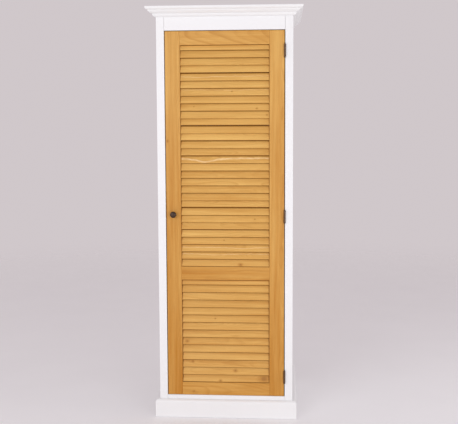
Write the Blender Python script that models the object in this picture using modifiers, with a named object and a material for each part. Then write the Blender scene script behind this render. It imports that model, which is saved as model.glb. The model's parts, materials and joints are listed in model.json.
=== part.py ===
"""Tall single-door wardrobe with a louvred door, in metres, +Z up, front facing -Y.

A painted carcass with a face frame stands on a mitred plinth and carries a mitred cornice.
An inset framed door filled with fixed tilted slats hangs on three lift-off hinges at the
right. The origin is at the centre of the footprint, on the floor.
"""

import math

import bmesh
import bpy
from mathutils import Matrix, Vector

# ---------------------------------------------------------------- driving dimensions
TOTAL_HEIGHT = 1.950
BODY_WIDTH = 0.638
BODY_DEPTH = 0.570

FIT_GAP = 0.0003          # between pieces that touch
EDGE_ROUND = 0.0012       # eased edge of a board

PANEL_THICKNESS = 0.018
BACK_THICKNESS = 0.006
BACK_REBATE = 0.009       # how far the back panel enters each side panel
BACK_LIFT = 0.012         # back panel above the floor

FACE_THICKNESS = 0.020
FACE_STILE_WIDTH = 0.037
FRIEZE_HEIGHT = 0.062     # seen between the door opening and the cornice
SILL_HEIGHT = 0.019       # seen between the plinth and the door opening
SILL_TUCK = 0.040         # the sill rail's hidden part, behind the plinth

PLINTH_HEIGHT = 0.086
PLINTH_THICKNESS = 0.020
PLINTH_ROUND = 0.004

CORNICE_HEIGHT = 0.046
CORNICE_PROJECTION = 0.045
CORNICE_EDGE = 0.001      # eased edges of the lip
LIP_HEIGHT = 0.0088       # the widest band, level with the lid
BAND_SETBACK = 0.011      # the middle band behind the lip
BAND_LEDGE = 0.0025       # from the middle band's face to the cove above it
BEAD_SETBACK = 0.028      # the bead behind the lip
BEAD_RADIUS = 0.005
FOOT_HEIGHT = 0.005       # flat fillet under the bead
FOOT_PROJECTION = 0.0035
LOWER_COVE = 0.014        # radii of the two hollows between the bands
UPPER_COVE = 0.007

DOOR_GAP = 0.003
DOOR_THICKNESS = 0.022
DOOR_STILE_WIDTH = 0.070
TOP_RAIL_HEIGHT = 0.064
MID_RAIL_HEIGHT = 0.063
BOTTOM_RAIL_HEIGHT = 0.060
MID_RAIL_CENTRE = 0.7006  # above the floor
TENON_LENGTH = 0.024
TENON_THICKNESS = 0.008
TENON_SHOULDER = 0.012    # from a rail's edge to its tenon

SLAT_WIDTH = 0.040
SLAT_THICKNESS = 0.006
SLAT_TILT = math.radians(22)
SLAT_SPACING = 0.0354     # wanted; each opening is divided evenly near it
SLAT_SETBACK = 0.0008     # lower front edge behind the door's face
SLAT_ROUND = 0.0018
TOP_SLAT_SHOWN = 0.0236   # the highest slat is cut down to fit under its rail
UPPER_BANKS = 10          # slats are joined in banks by the strips at their ends
LOWER_BANKS = 7
STRIP_WIDTH = 0.0055
STRIP_THICKNESS = 0.004
TENON_ROOT = 0.002        # how far a slat's stub tenon reaches into the slat
STUB_HEIGHT = 0.005

KNOB_HEIGHT = 0.983       # above the floor
KNOB_DIAMETER = 0.030
KNOB_PROJECTION = 0.030
KNOB_BASE_DIAMETER = 0.018
KNOB_NECK_DIAMETER = 0.011
KNOB_HEAD_THICKNESS = 0.012
KNOB_BASE_THICKNESS = 0.0025
KNOB_FOOT_HEIGHT = 0.006  # where the neck's hollow flare starts
KNOB_ROUNDNESS = 0.75     # 1 for an elliptical head, less for a fuller one
KNOB_SCREW_DIAMETER = 0.004
KNOB_SCREW_REACH = 0.014  # into the knob
SCREW_HEAD_DIAMETER = 0.009
SCREW_HEAD_HEIGHT = 0.0025

HINGE_HEIGHT = 0.072
HINGE_BARREL_DIAMETER = 0.009
HINGE_PIN_DIAMETER = 0.0045
HINGE_STAND_OFF = 0.0005  # between a hinge barrel and the door's face
HINGE_LEAF_DEPTH = 0.018
HINGE_END_MARGIN = 0.093  # door end to the centre of the nearest hinge
HINGE_TAB_INSET = 0.0015  # leaf's end to the tab that joins it to the barrel
FINIAL_HEIGHT = 0.006
FINIAL_SHAPE = (          # shares of the barrel's radius and of the finial's height, tip first
    (0.0, 1.0),
    (0.32, 0.94),
    (0.55, 0.75),
    (0.68, 0.40),
    (0.94, 0.0),
    (1.0, -0.3),
)
DOOR_SWING_GAP = 0.0005   # between the two halves of a hinge barrel

HAT_SPACE = 0.332         # clear height between the hat shelf and the lid
SHELF_SETBACK = 0.020     # behind the face frame
CLEAT_THICKNESS = 0.018
CLEAT_HEIGHT = 0.030
CLEAT_SETBACK = 0.030     # from each end of the shelf's depth

ROD_DIAMETER = 0.025
ROD_WALL = 0.0015
SOCKET_WALL = 0.0025
SOCKET_DEPTH = 0.014
SOCKET_FLANGE_DIAMETER = 0.042
SOCKET_FLANGE_THICKNESS = 0.003
SOCKET_DROP = 0.004       # cleat to socket flange

CATCH_WIDTH = 0.040
CATCH_HEIGHT = 0.016
CATCH_DEPTH = 0.020
STRIKE_WIDTH = 0.014
STRIKE_HEIGHT = 0.030
STRIKE_THICKNESS = 0.0015

ROUND_STEPS = 32          # facets round a knob or a tube
SMALL_STEPS = 20          # facets round a pin or a screw

# ---------------------------------------------------------------- places worked out from them
FRONT = -(BODY_DEPTH + CORNICE_PROJECTION) / 2 + CORNICE_PROJECTION
BACK = FRONT + BODY_DEPTH
HALF_WIDTH = BODY_WIDTH / 2
SIDE_INNER = HALF_WIDTH - PANEL_THICKNESS
PANEL_FRONT = FRONT + FACE_THICKNESS
BACK_FRONT = BACK - BACK_THICKNESS
LID_BOTTOM = TOTAL_HEIGHT - PANEL_THICKNESS

OPENING_HALF = HALF_WIDTH - FACE_STILE_WIDTH
OPENING_BOTTOM = PLINTH_HEIGHT + SILL_HEIGHT
OPENING_TOP = TOTAL_HEIGHT - CORNICE_HEIGHT - FRIEZE_HEIGHT

DOOR_HALF = OPENING_HALF - DOOR_GAP
DOOR_BOTTOM = OPENING_BOTTOM + DOOR_GAP
DOOR_TOP = OPENING_TOP - DOOR_GAP
DOOR_BACK = FRONT + DOOR_THICKNESS
DOOR_MIDDLE_Y = FRONT + DOOR_THICKNESS / 2
SLAT_MIDDLE = (  # centre of a slat's section from its lower front edge, back and up
    SLAT_WIDTH / 2 * math.sin(SLAT_TILT) + SLAT_THICKNESS / 2 * math.cos(SLAT_TILT),
    SLAT_WIDTH / 2 * math.cos(SLAT_TILT) - SLAT_THICKNESS / 2 * math.sin(SLAT_TILT),
)
STRIP_Y = FRONT + SLAT_SETBACK + SLAT_MIDDLE[0]
LOUVRE_HALF = DOOR_HALF - DOOR_STILE_WIDTH
UPPER_LOUVRE = (MID_RAIL_CENTRE + MID_RAIL_HEIGHT / 2, DOOR_TOP - TOP_RAIL_HEIGHT)
LOWER_LOUVRE = (DOOR_BOTTOM + BOTTOM_RAIL_HEIGHT, MID_RAIL_CENTRE - MID_RAIL_HEIGHT / 2)

HINGE_OFFSET = HINGE_BARREL_DIAMETER / 2 + HINGE_STAND_OFF
HINGE_X = DOOR_HALF + DOOR_GAP / 2
HINGE_Y = FRONT - HINGE_OFFSET
HINGE_CENTRES = {
    "top": DOOR_TOP - HINGE_END_MARGIN,
    "middle": (DOOR_TOP + DOOR_BOTTOM) / 2,
    "bottom": DOOR_BOTTOM + HINGE_END_MARGIN,
}
LEAF_THICKNESS = (DOOR_GAP - 3 * FIT_GAP) / 2

KNOB_X = -DOOR_HALF + DOOR_STILE_WIDTH / 2

SHELF_TOP = LID_BOTTOM - HAT_SPACE
SHELF_BOTTOM = SHELF_TOP - PANEL_THICKNESS
ROD_Y = (PANEL_FRONT + BACK_FRONT) / 2
ROD_Z = SHELF_BOTTOM - FIT_GAP - CLEAT_HEIGHT - SOCKET_DROP - SOCKET_FLANGE_DIAMETER / 2

# ---------------------------------------------------------------- scene and finishes
for leftover in list(bpy.data.objects):
    bpy.data.objects.remove(leftover, do_unlink=True)

PARTS = bpy.data.collections.new("louvred_wardrobe")
CUTTERS = bpy.data.collections.new("cutters")
bpy.context.scene.collection.children.link(PARTS)
bpy.context.scene.collection.children.link(CUTTERS)


def finish(name, colour, roughness, metallic=0.0):
    """A plain Principled material."""
    material = bpy.data.materials.new(name)
    material.use_nodes = True
    shader = material.node_tree.nodes["Principled BSDF"]
    shader.inputs["Base Color"].default_value = (*colour, 1.0)
    shader.inputs["Roughness"].default_value = roughness
    shader.inputs["Metallic"].default_value = metallic
    material.diffuse_color = (*colour, 1.0)
    return material


WHITE_PAINT = finish("white_paint", (0.86, 0.86, 0.87), 0.45)
HONEY_PINE = finish("honey_pine", (0.62, 0.34, 0.10), 0.50)
DARK_BRONZE = finish("dark_bronze", (0.045, 0.028, 0.022), 0.42, 0.8)
STEEL = finish("polished_steel", (0.62, 0.62, 0.63), 0.22, 1.0)
CATCH_PLASTIC = finish("catch_plastic", (0.80, 0.79, 0.76), 0.55)


# ---------------------------------------------------------------- shape makers
def add_object(name, mesh, material, cutter=False):
    """Put a mesh in the scene as a part, or as a hidden cutter."""
    piece = bpy.data.objects.new(name, mesh)
    if cutter:
        CUTTERS.objects.link(piece)
        piece.hide_render = True
        piece.display_type = "WIRE"
    else:
        PARTS.objects.link(piece)
        mesh.materials.append(material)
    return piece


def box(name, low, high, material=None, cutter=False, edge=0.0):
    """A board between two opposite corners, with its edges eased."""
    low = Vector(low)
    high = Vector(high)
    work = bmesh.new()
    bmesh.ops.create_cube(work, size=1.0)
    bmesh.ops.scale(work, vec=high - low, verts=work.verts)
    mesh = bpy.data.meshes.new(name)
    work.to_mesh(mesh)
    work.free()
    piece = add_object(name, mesh, material, cutter)
    piece.location = (low + high) / 2
    if edge:
        rounding = piece.modifiers.new("eased edges", "BEVEL")
        rounding.width = edge
        rounding.segments = 2
    return piece


def cylinder(name, radius, depth, place, along, material=None, cutter=False):
    """A round bar or a round cutter, centred on place, with its axis along a unit vector."""
    work = bmesh.new()
    bmesh.ops.create_cone(
        work, cap_ends=True, segments=SMALL_STEPS, radius1=radius, radius2=radius, depth=depth
    )
    mesh = bpy.data.meshes.new(name)
    work.to_mesh(mesh)
    work.free()
    mesh.shade_smooth()
    mesh.set_sharp_from_angle(angle=math.radians(40))
    piece = add_object(name, mesh, material, cutter)
    piece.rotation_euler = Vector((0, 0, 1)).rotation_difference(Vector(along)).to_euler()
    piece.location = place
    return piece


def outline_mesh(name, outline, thickness):
    """A flat closed outline, extruded by half its thickness to each side."""
    curve = bpy.data.curves.new(name, "CURVE")
    curve.dimensions = "2D"
    curve.fill_mode = "BOTH"
    curve.extrude = thickness / 2
    spline = curve.splines.new("POLY")
    spline.points.add(len(outline) - 1)
    for point, (across, up) in zip(spline.points, outline):
        point.co = (across, up, 0.0, 1.0)
    spline.use_cyclic_u = True
    drawn = bpy.data.objects.new(name, curve)
    CUTTERS.objects.link(drawn)
    graph = bpy.context.evaluated_depsgraph_get()
    mesh = bpy.data.meshes.new_from_object(drawn.evaluated_get(graph))
    bpy.data.objects.remove(drawn, do_unlink=True)
    bpy.data.curves.remove(curve)
    work = bmesh.new()
    work.from_mesh(mesh)
    bmesh.ops.remove_doubles(work, verts=work.verts, dist=0.00001)
    bmesh.ops.recalc_face_normals(work, faces=work.faces)
    work.to_mesh(mesh)
    work.free()
    mesh.materials.clear()
    return mesh


def turned(name, profile, steps, place, along, material):
    """A turned piece: profile is (radius, height) from the top down its outer side."""
    work = bmesh.new()
    points = [work.verts.new((radius, 0.0, height)) for radius, height in profile]
    for first, second in zip(points, points[1:]):
        work.edges.new((first, second))
    if profile[0][0] > 0:
        work.edges.new((points[-1], points[0]))
    mesh = bpy.data.meshes.new(name)
    work.to_mesh(mesh)
    work.free()
    piece = add_object(name, mesh, material)
    lathe = piece.modifiers.new("lathe", "SCREW")
    lathe.steps = steps
    lathe.render_steps = steps
    lathe.use_smooth_shade = True
    lathe.use_merge_vertices = True
    lathe.merge_threshold = 0.00001
    piece.rotation_euler = Vector((0, 0, 1)).rotation_difference(Vector(along)).to_euler()
    piece.location = place
    return piece


def combine(piece, other, operation):
    """Join another solid to a piece, or cut it away, with the exact solver."""
    change = piece.modifiers.new(operation.lower() + " " + other.name, "BOOLEAN")
    change.operation = operation
    change.solver = "EXACT"
    change.object = other


def arc(centre, radius, first, last, steps):
    """Points on an arc, in degrees, both ends included."""
    turn = [math.radians(first + (last - first) * i / steps) for i in range(steps + 1)]
    return [(centre[0] + radius * math.cos(a), centre[1] + radius * math.sin(a)) for a in turn]


# Local X, Y, Z of an extruded outline laid along each world axis.
ALONG_X = Matrix(((0, 0, 1), (1, 0, 0), (0, 1, 0))).to_4x4()
ALONG_Y = Matrix(((1, 0, 0), (0, 0, -1), (0, 1, 0))).to_4x4()


# ---------------------------------------------------------------- carcass
def side_panel(name, side):
    """A full-height side, rebated at the back for the back panel."""
    outline = [
        (SIDE_INNER, PANEL_FRONT + FIT_GAP),
        (HALF_WIDTH, PANEL_FRONT + FIT_GAP),
        (HALF_WIDTH, BACK),
        (SIDE_INNER + BACK_REBATE, BACK),
        (SIDE_INNER + BACK_REBATE, BACK_FRONT - FIT_GAP),
        (SIDE_INNER, BACK_FRONT - FIT_GAP),
    ]
    mesh = outline_mesh(name, outline, LID_BOTTOM - FIT_GAP)
    if side < 0:
        mesh.transform(Matrix.Diagonal((-1, 1, 1, 1)))
        mesh.flip_normals()
    panel = add_object(name, mesh, WHITE_PAINT)
    panel.location = (0, 0, (LID_BOTTOM - FIT_GAP) / 2)


def make_carcass():
    side_panel("side_panel_left", -1)
    side_panel("side_panel_right", 1)
    inner = SIDE_INNER - FIT_GAP
    box(
        "top_panel",
        (-HALF_WIDTH, FRONT, LID_BOTTOM),
        (HALF_WIDTH, BACK, TOTAL_HEIGHT),
        WHITE_PAINT,
        edge=EDGE_ROUND,
    )
    box(
        "bottom_panel",
        (-inner, PANEL_FRONT + FIT_GAP, OPENING_BOTTOM - PANEL_THICKNESS),
        (inner, BACK_FRONT - FIT_GAP, OPENING_BOTTOM),
        WHITE_PAINT,
        edge=EDGE_ROUND,
    )
    back_half = SIDE_INNER + BACK_REBATE - FIT_GAP
    box(
        "back_panel",
        (-back_half, BACK_FRONT, BACK_LIFT),
        (back_half, BACK, LID_BOTTOM - FIT_GAP),
        WHITE_PAINT,
    )
    box(
        "rear_floor_rail",
        (-inner, BACK_FRONT - FIT_GAP - FACE_THICKNESS, 0),
        (inner, BACK_FRONT - FIT_GAP, OPENING_BOTTOM - PANEL_THICKNESS - FIT_GAP),
        WHITE_PAINT,
        edge=EDGE_ROUND,
    )


def make_face_frame():
    for name, side in (("face_stile_left", -1), ("face_stile_right", 1)):
        edges = sorted((side * OPENING_HALF, side * HALF_WIDTH))
        box(
            name,
            (edges[0], FRONT, 0),
            (edges[1], PANEL_FRONT, LID_BOTTOM - FIT_GAP),
            WHITE_PAINT,
            edge=EDGE_ROUND,
        )
    inner = OPENING_HALF - FIT_GAP
    box(
        "frieze_rail",
        (-inner, FRONT, OPENING_TOP),
        (inner, PANEL_FRONT, LID_BOTTOM - FIT_GAP),
        WHITE_PAINT,
        edge=EDGE_ROUND,
    )
    box(
        "sill_rail",
        (-inner, FRONT, OPENING_BOTTOM - SILL_HEIGHT - SILL_TUCK),
        (inner, PANEL_FRONT, OPENING_BOTTOM),
        WHITE_PAINT,
        edge=EDGE_ROUND,
    )


# ---------------------------------------------------------------- mouldings
def mitred_front(name, profile, material):
    """A moulding across the front, both ends cut at 45 degrees.

    The profile is (projection from the body, height above the floor).
    """
    mesh = outline_mesh(name, profile, BODY_WIDTH)
    for vertex in mesh.vertices:
        reach = vertex.co.x - FIT_GAP / 2
        vertex.co.z += math.copysign(reach, vertex.co.z)
    mesh.transform(Matrix.Diagonal((-1, 1, 1, 1)))
    mesh.transform(ALONG_X)
    mesh.flip_normals()
    piece = add_object(name, mesh, material)
    piece.location = (0, FRONT, 0)
    return piece


def mitred_return(name, profile, side, material):
    """A moulding along one side, cut at 45 degrees in front and square at the back."""
    mesh = outline_mesh(name, profile, BODY_DEPTH)
    for vertex in mesh.vertices:
        if vertex.co.z > 0:
            vertex.co.z += vertex.co.x - FIT_GAP / 2
    mesh.transform(ALONG_Y)
    if side < 0:
        mesh.transform(Matrix.Diagonal((-1, 1, 1, 1)))
        mesh.flip_normals()
    piece = add_object(name, mesh, material)
    piece.location = (side * HALF_WIDTH, FRONT + BODY_DEPTH / 2, 0)
    return piece


def cornice_profile():
    """A fillet, a bead, a cove, a band, a cove and a lip, each standing farther out."""
    bottom = TOTAL_HEIGHT - CORNICE_HEIGHT
    lip = CORNICE_PROJECTION
    lip_bottom = TOTAL_HEIGHT - LIP_HEIGHT
    band = lip - BAND_SETBACK
    bead = lip - BEAD_SETBACK - BEAD_RADIUS
    foot_top = bottom + FOOT_HEIGHT
    bead_top = foot_top + 2 * BEAD_RADIUS
    cove = band - LOWER_COVE * math.cos(math.radians(30))
    profile = [(FIT_GAP, bottom), (FOOT_PROJECTION, bottom), (FOOT_PROJECTION, foot_top)]
    profile += arc((bead, foot_top + BEAD_RADIUS), BEAD_RADIUS, -90, 90, 6)
    profile += arc((cove, bead_top + LOWER_COVE), LOWER_COVE, -90, -30, 4)
    profile += [(band, lip_bottom - UPPER_COVE)]
    profile += arc((band + BAND_LEDGE, lip_bottom), UPPER_COVE, -90, -10, 4)
    profile += [(lip - CORNICE_EDGE, lip_bottom), (lip, lip_bottom + CORNICE_EDGE)]
    profile += [(lip, TOTAL_HEIGHT - CORNICE_EDGE), (lip - CORNICE_EDGE, TOTAL_HEIGHT)]
    return profile + [(FIT_GAP, TOTAL_HEIGHT)]


def plinth_profile():
    """A square board with its upper outer edge rounded."""
    corner = (PLINTH_THICKNESS - PLINTH_ROUND, PLINTH_HEIGHT - PLINTH_ROUND)
    return [
        (FIT_GAP, 0.0),
        (PLINTH_THICKNESS, 0.0),
        *arc(corner, PLINTH_ROUND, 0, 90, 4),
        (FIT_GAP, PLINTH_HEIGHT),
    ]


def make_mouldings():
    for kind, profile in (("cornice", cornice_profile()), ("plinth", plinth_profile())):
        mitred_front(kind + "_front", profile, WHITE_PAINT)
        mitred_return(kind + "_left", profile, -1, WHITE_PAINT)
        mitred_return(kind + "_right", profile, 1, WHITE_PAINT)


# ---------------------------------------------------------------- interior
def make_interior():
    inner = SIDE_INNER - FIT_GAP
    shelf_front = PANEL_FRONT + SHELF_SETBACK
    shelf_back = BACK_FRONT - FIT_GAP
    box(
        "hat_shelf",
        (-inner, shelf_front, SHELF_BOTTOM),
        (inner, shelf_back, SHELF_TOP),
        WHITE_PAINT,
        edge=EDGE_ROUND,
    )
    cleat_top = SHELF_BOTTOM - FIT_GAP
    for name, side in (("shelf_cleat_left", -1), ("shelf_cleat_right", 1)):
        edges = sorted((side * inner, side * (inner - CLEAT_THICKNESS)))
        box(
            name,
            (edges[0], shelf_front + CLEAT_SETBACK, cleat_top - CLEAT_HEIGHT),
            (edges[1], shelf_back - CLEAT_SETBACK, cleat_top),
            WHITE_PAINT,
            edge=EDGE_ROUND,
        )
    make_hanging_rod(inner)


def make_hanging_rod(inner):
    """An open tube held at each end in a flanged socket."""
    tube = ROD_DIAMETER / 2
    cup_inner = tube + FIT_GAP
    cup_outer = cup_inner + SOCKET_WALL
    flange = SOCKET_FLANGE_DIAMETER / 2
    half_rod = inner - SOCKET_FLANGE_THICKNESS - FIT_GAP
    turned(
        "hanging_rod",
        [
            (tube - ROD_WALL, half_rod),
            (tube, half_rod),
            (tube, -half_rod),
            (tube - ROD_WALL, -half_rod),
        ],
        ROUND_STEPS,
        (0, ROD_Y, ROD_Z),
        (1, 0, 0),
        STEEL,
    )
    socket = [
        (cup_inner, SOCKET_DEPTH),
        (cup_outer, SOCKET_DEPTH),
        (cup_outer, SOCKET_FLANGE_THICKNESS),
        (flange, SOCKET_FLANGE_THICKNESS),
        (flange, 0.0),
        (0.0, 0.0),
        (0.0, SOCKET_FLANGE_THICKNESS),
        (cup_inner, SOCKET_FLANGE_THICKNESS),
    ]
    for name, side in (("rod_socket_left", -1), ("rod_socket_right", 1)):
        turned(name, socket, ROUND_STEPS, (side * inner, ROD_Y, ROD_Z), (-side, 0, 0), STEEL)


def make_catch():
    """A magnetic catch on the left side panel and its strike on the back of the door."""
    strike_back = DOOR_BACK + FIT_GAP + STRIKE_THICKNESS
    box(
        "magnetic_catch",
        (-SIDE_INNER + FIT_GAP, strike_back + FIT_GAP, KNOB_HEIGHT - CATCH_HEIGHT / 2),
        (
            -SIDE_INNER + FIT_GAP + CATCH_WIDTH,
            strike_back + FIT_GAP + CATCH_DEPTH,
            KNOB_HEIGHT + CATCH_HEIGHT / 2,
        ),
        CATCH_PLASTIC,
        edge=EDGE_ROUND,
    )
    box(
        "catch_strike",
        (-DOOR_HALF + DOOR_GAP, DOOR_BACK + FIT_GAP, KNOB_HEIGHT - STRIKE_HEIGHT / 2),
        (-DOOR_HALF + DOOR_GAP + STRIKE_WIDTH, strike_back, KNOB_HEIGHT + STRIKE_HEIGHT / 2),
        STEEL,
    )


# ---------------------------------------------------------------- door
def door_rails():
    """Each rail's name with its lower and upper edges."""
    return {
        "door_bottom_rail": (DOOR_BOTTOM, LOWER_LOUVRE[0]),
        "door_mid_rail": (LOWER_LOUVRE[1], UPPER_LOUVRE[0]),
        "door_top_rail": (UPPER_LOUVRE[1], DOOR_TOP),
    }


def cutter_across(name, reach, middle, thickness, low, high):
    """A cutter from stile to stile that enters each by reach."""
    half = thickness / 2 + FIT_GAP
    return box(
        name,
        (-LOUVRE_HALF - reach, middle - half, low),
        (LOUVRE_HALF + reach, middle + half, high),
        cutter=True,
    )


def make_door_frame():
    stiles = []
    for name, side in (("door_stile_left", -1), ("door_stile_right", 1)):
        edges = sorted((side * LOUVRE_HALF, side * DOOR_HALF))
        stiles.append(
            box(name, (edges[0], FRONT, DOOR_BOTTOM), (edges[1], DOOR_BACK, DOOR_TOP), HONEY_PINE)
        )
    hollows = [
        cutter_across(
            "groove_" + name, STRIP_WIDTH + 2 * FIT_GAP, STRIP_Y, STRIP_THICKNESS, low, high
        )
        for name, (low, high) in (("upper", UPPER_LOUVRE), ("lower", LOWER_LOUVRE))
    ]
    for name, (low, high) in door_rails().items():
        tenon_low = low + TENON_SHOULDER
        tenon_high = high - TENON_SHOULDER
        rail = box(
            name,
            (-LOUVRE_HALF + FIT_GAP, FRONT, low),
            (LOUVRE_HALF - FIT_GAP, DOOR_BACK, high),
            HONEY_PINE,
        )
        tenons = box(
            name + "_tenons",
            (-LOUVRE_HALF - TENON_LENGTH, DOOR_MIDDLE_Y - TENON_THICKNESS / 2, tenon_low),
            (LOUVRE_HALF + TENON_LENGTH, DOOR_MIDDLE_Y + TENON_THICKNESS / 2, tenon_high),
            cutter=True,
        )
        combine(rail, tenons, "UNION")
        hollows.append(
            cutter_across(
                name + "_mortises",
                TENON_LENGTH + FIT_GAP,
                DOOR_MIDDLE_Y,
                TENON_THICKNESS,
                tenon_low - FIT_GAP,
                tenon_high + FIT_GAP,
            )
        )
    for stile in stiles:
        for hollow in hollows:
            combine(stile, hollow, "DIFFERENCE")
    bore = cylinder(
        "knob_bore",
        KNOB_SCREW_DIAMETER / 2 + FIT_GAP,
        DOOR_THICKNESS * 2,
        (KNOB_X, DOOR_MIDDLE_Y, KNOB_HEIGHT),
        (0, 1, 0),
        cutter=True,
    )
    combine(stiles[0], bore, "DIFFERENCE")


def slat_outline(width):
    """Section of a slat as (depth, height) from its lower front edge, leaning back."""
    inset = SLAT_ROUND
    corners = (
        ((inset, inset), 180),
        ((SLAT_THICKNESS - inset, inset), 270),
        ((SLAT_THICKNESS - inset, width - inset), 0),
        ((inset, width - inset), 90),
    )
    upright = []
    for centre, start in corners:
        upright += arc(centre, SLAT_ROUND, start, start + 90, 2)
    lean = Matrix.Rotation(-SLAT_TILT, 2)
    return [tuple(lean @ Vector(point)) for point in upright]


def slat_levels(low, high):
    """Heights of the slats' lower front edges, evenly spaced, bottom to top."""
    first = low + SLAT_THICKNESS * math.sin(SLAT_TILT) + FIT_GAP
    last = high - TOP_SLAT_SHOWN
    count = round((last - first) / SLAT_SPACING) + 1
    return [first + (last - first) * i / (count - 1) for i in range(count)]


def slat_bank(name, levels, spacing, top):
    """Neighbouring slats with a stub tenon at each end, all joined by a strip in each stile."""
    half_length = LOUVRE_HALF - FIT_GAP
    bank = None
    for number, level in enumerate(levels):
        room = (top - FIT_GAP - level) / math.cos(SLAT_TILT)
        mesh = outline_mesh(name, slat_outline(min(SLAT_WIDTH, room)), 2 * half_length)
        mesh.transform(ALONG_X)
        slat_name = name if bank is None else f"{name}_slat_{number + 1}"
        slat = add_object(slat_name, mesh, HONEY_PINE, cutter=bank is not None)
        slat.location = (0, FRONT + SLAT_SETBACK, level)
        if bank is None:
            bank = slat
        else:
            combine(bank, slat, "UNION")
    centres = [level + SLAT_MIDDLE[1] for level in levels]
    low = centres[0] - spacing / 2 + FIT_GAP / 2
    high = min(centres[-1] + spacing / 2 - FIT_GAP / 2, top - FIT_GAP)
    comb = [(STRIP_WIDTH + FIT_GAP, low), (STRIP_WIDTH + FIT_GAP, high), (FIT_GAP, high)]
    for centre in reversed(centres):
        # The highest stub stays under the rail, as its slat does.
        stub_top = min(centre + STUB_HEIGHT / 2, high - FIT_GAP)
        comb += [
            (FIT_GAP, stub_top),
            (-TENON_ROOT, stub_top),
            (-TENON_ROOT, stub_top - STUB_HEIGHT),
            (FIT_GAP, stub_top - STUB_HEIGHT),
        ]
    comb.append((FIT_GAP, low))
    for side in (-1, 1):
        mesh = outline_mesh(name + "_comb", comb, STRIP_THICKNESS)
        mesh.transform(ALONG_Y)
        if side < 0:
            mesh.transform(Matrix.Diagonal((-1, 1, 1, 1)))
            mesh.flip_normals()
        strip = add_object(f"{name}_comb_{side}", mesh, None, cutter=True)
        strip.location = (side * LOUVRE_HALF, STRIP_Y, 0)
        combine(bank, strip, "UNION")


def make_slats():
    openings = (
        ("upper_louvre_bank", UPPER_LOUVRE, UPPER_BANKS),
        ("lower_louvre_bank", LOWER_LOUVRE, LOWER_BANKS),
    )
    for name, (low, high), banks in openings:
        levels = slat_levels(low, high)
        spacing = levels[1] - levels[0]
        for number in range(banks):
            first = round(number * len(levels) / banks)
            last = round((number + 1) * len(levels) / banks)
            slat_bank(f"{name}_{number + 1:02d}", levels[first:last], spacing, high)


def make_knob():
    """A turned mushroom knob and the screw that holds it from the back of the door."""
    rim = KNOB_DIAMETER / 2
    bore = KNOB_SCREW_DIAMETER / 2 + FIT_GAP
    base = KNOB_BASE_DIAMETER / 2
    neck = KNOB_NECK_DIAMETER / 2
    head = KNOB_HEAD_THICKNESS / 2
    crown = KNOB_PROJECTION - head
    flare = KNOB_FOOT_HEIGHT - KNOB_BASE_THICKNESS
    profile = [(0.0, KNOB_PROJECTION)]
    for step in range(1, 13):
        turn = math.radians(90 - step * 13)
        profile.append((rim * math.cos(turn) ** KNOB_ROUNDNESS, crown + head * math.sin(turn)))
    profile.append((neck, crown - head))
    for step in range(4):
        turn = math.radians(30 * step)
        across = neck + (base - neck) * (1 - math.cos(turn))
        profile.append((across, KNOB_FOOT_HEIGHT - flare * math.sin(turn)))
    profile += [
        (base, FIT_GAP),
        (bore, FIT_GAP),
        (bore, KNOB_SCREW_REACH + FIT_GAP),
        (0.0, KNOB_SCREW_REACH + FIT_GAP),
    ]
    turned(
        "door_knob",
        profile,
        ROUND_STEPS,
        (KNOB_X, FRONT, KNOB_HEIGHT),
        (0, -1, 0),
        DARK_BRONZE,
    )
    shank = KNOB_SCREW_DIAMETER / 2
    head_edge = SCREW_HEAD_DIAMETER / 2
    turned(
        "knob_screw",
        [
            (0.0, SCREW_HEAD_HEIGHT),
            (head_edge * 0.6, SCREW_HEAD_HEIGHT * 0.9),
            (head_edge, SCREW_HEAD_HEIGHT * 0.35),
            (head_edge, FIT_GAP),
            (shank, FIT_GAP),
            (shank, -DOOR_THICKNESS - KNOB_SCREW_REACH),
            (0.0, -DOOR_THICKNESS - KNOB_SCREW_REACH),
        ],
        SMALL_STEPS,
        (KNOB_X, DOOR_BACK, KNOB_HEIGHT),
        (0, 1, 0),
        STEEL,
    )


# ---------------------------------------------------------------- hinges
def knuckle_profile(direction):
    """Half a hinge barrel from the middle gap to its tapered end, with a blind pin hole.

    It points up for the door's half (direction 1) and down for the frame's half (-1).
    """
    outer = HINGE_BARREL_DIAMETER / 2
    bore = HINGE_PIN_DIAMETER / 2 + FIT_GAP
    start = DOOR_SWING_GAP / 2
    shoulder = HINGE_HEIGHT / 2 - FINIAL_HEIGHT
    pin_room = shoulder - outer + FIT_GAP
    outside = [(outer * across, shoulder + FINIAL_HEIGHT * up) for across, up in FINIAL_SHAPE]
    outside += [
        (outer, start),
        (bore, start),
        (bore, pin_room),
        (0.0, pin_room),
    ]
    if direction > 0:
        return outside
    return [(radius, -height) for radius, height in reversed(outside)]


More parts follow.
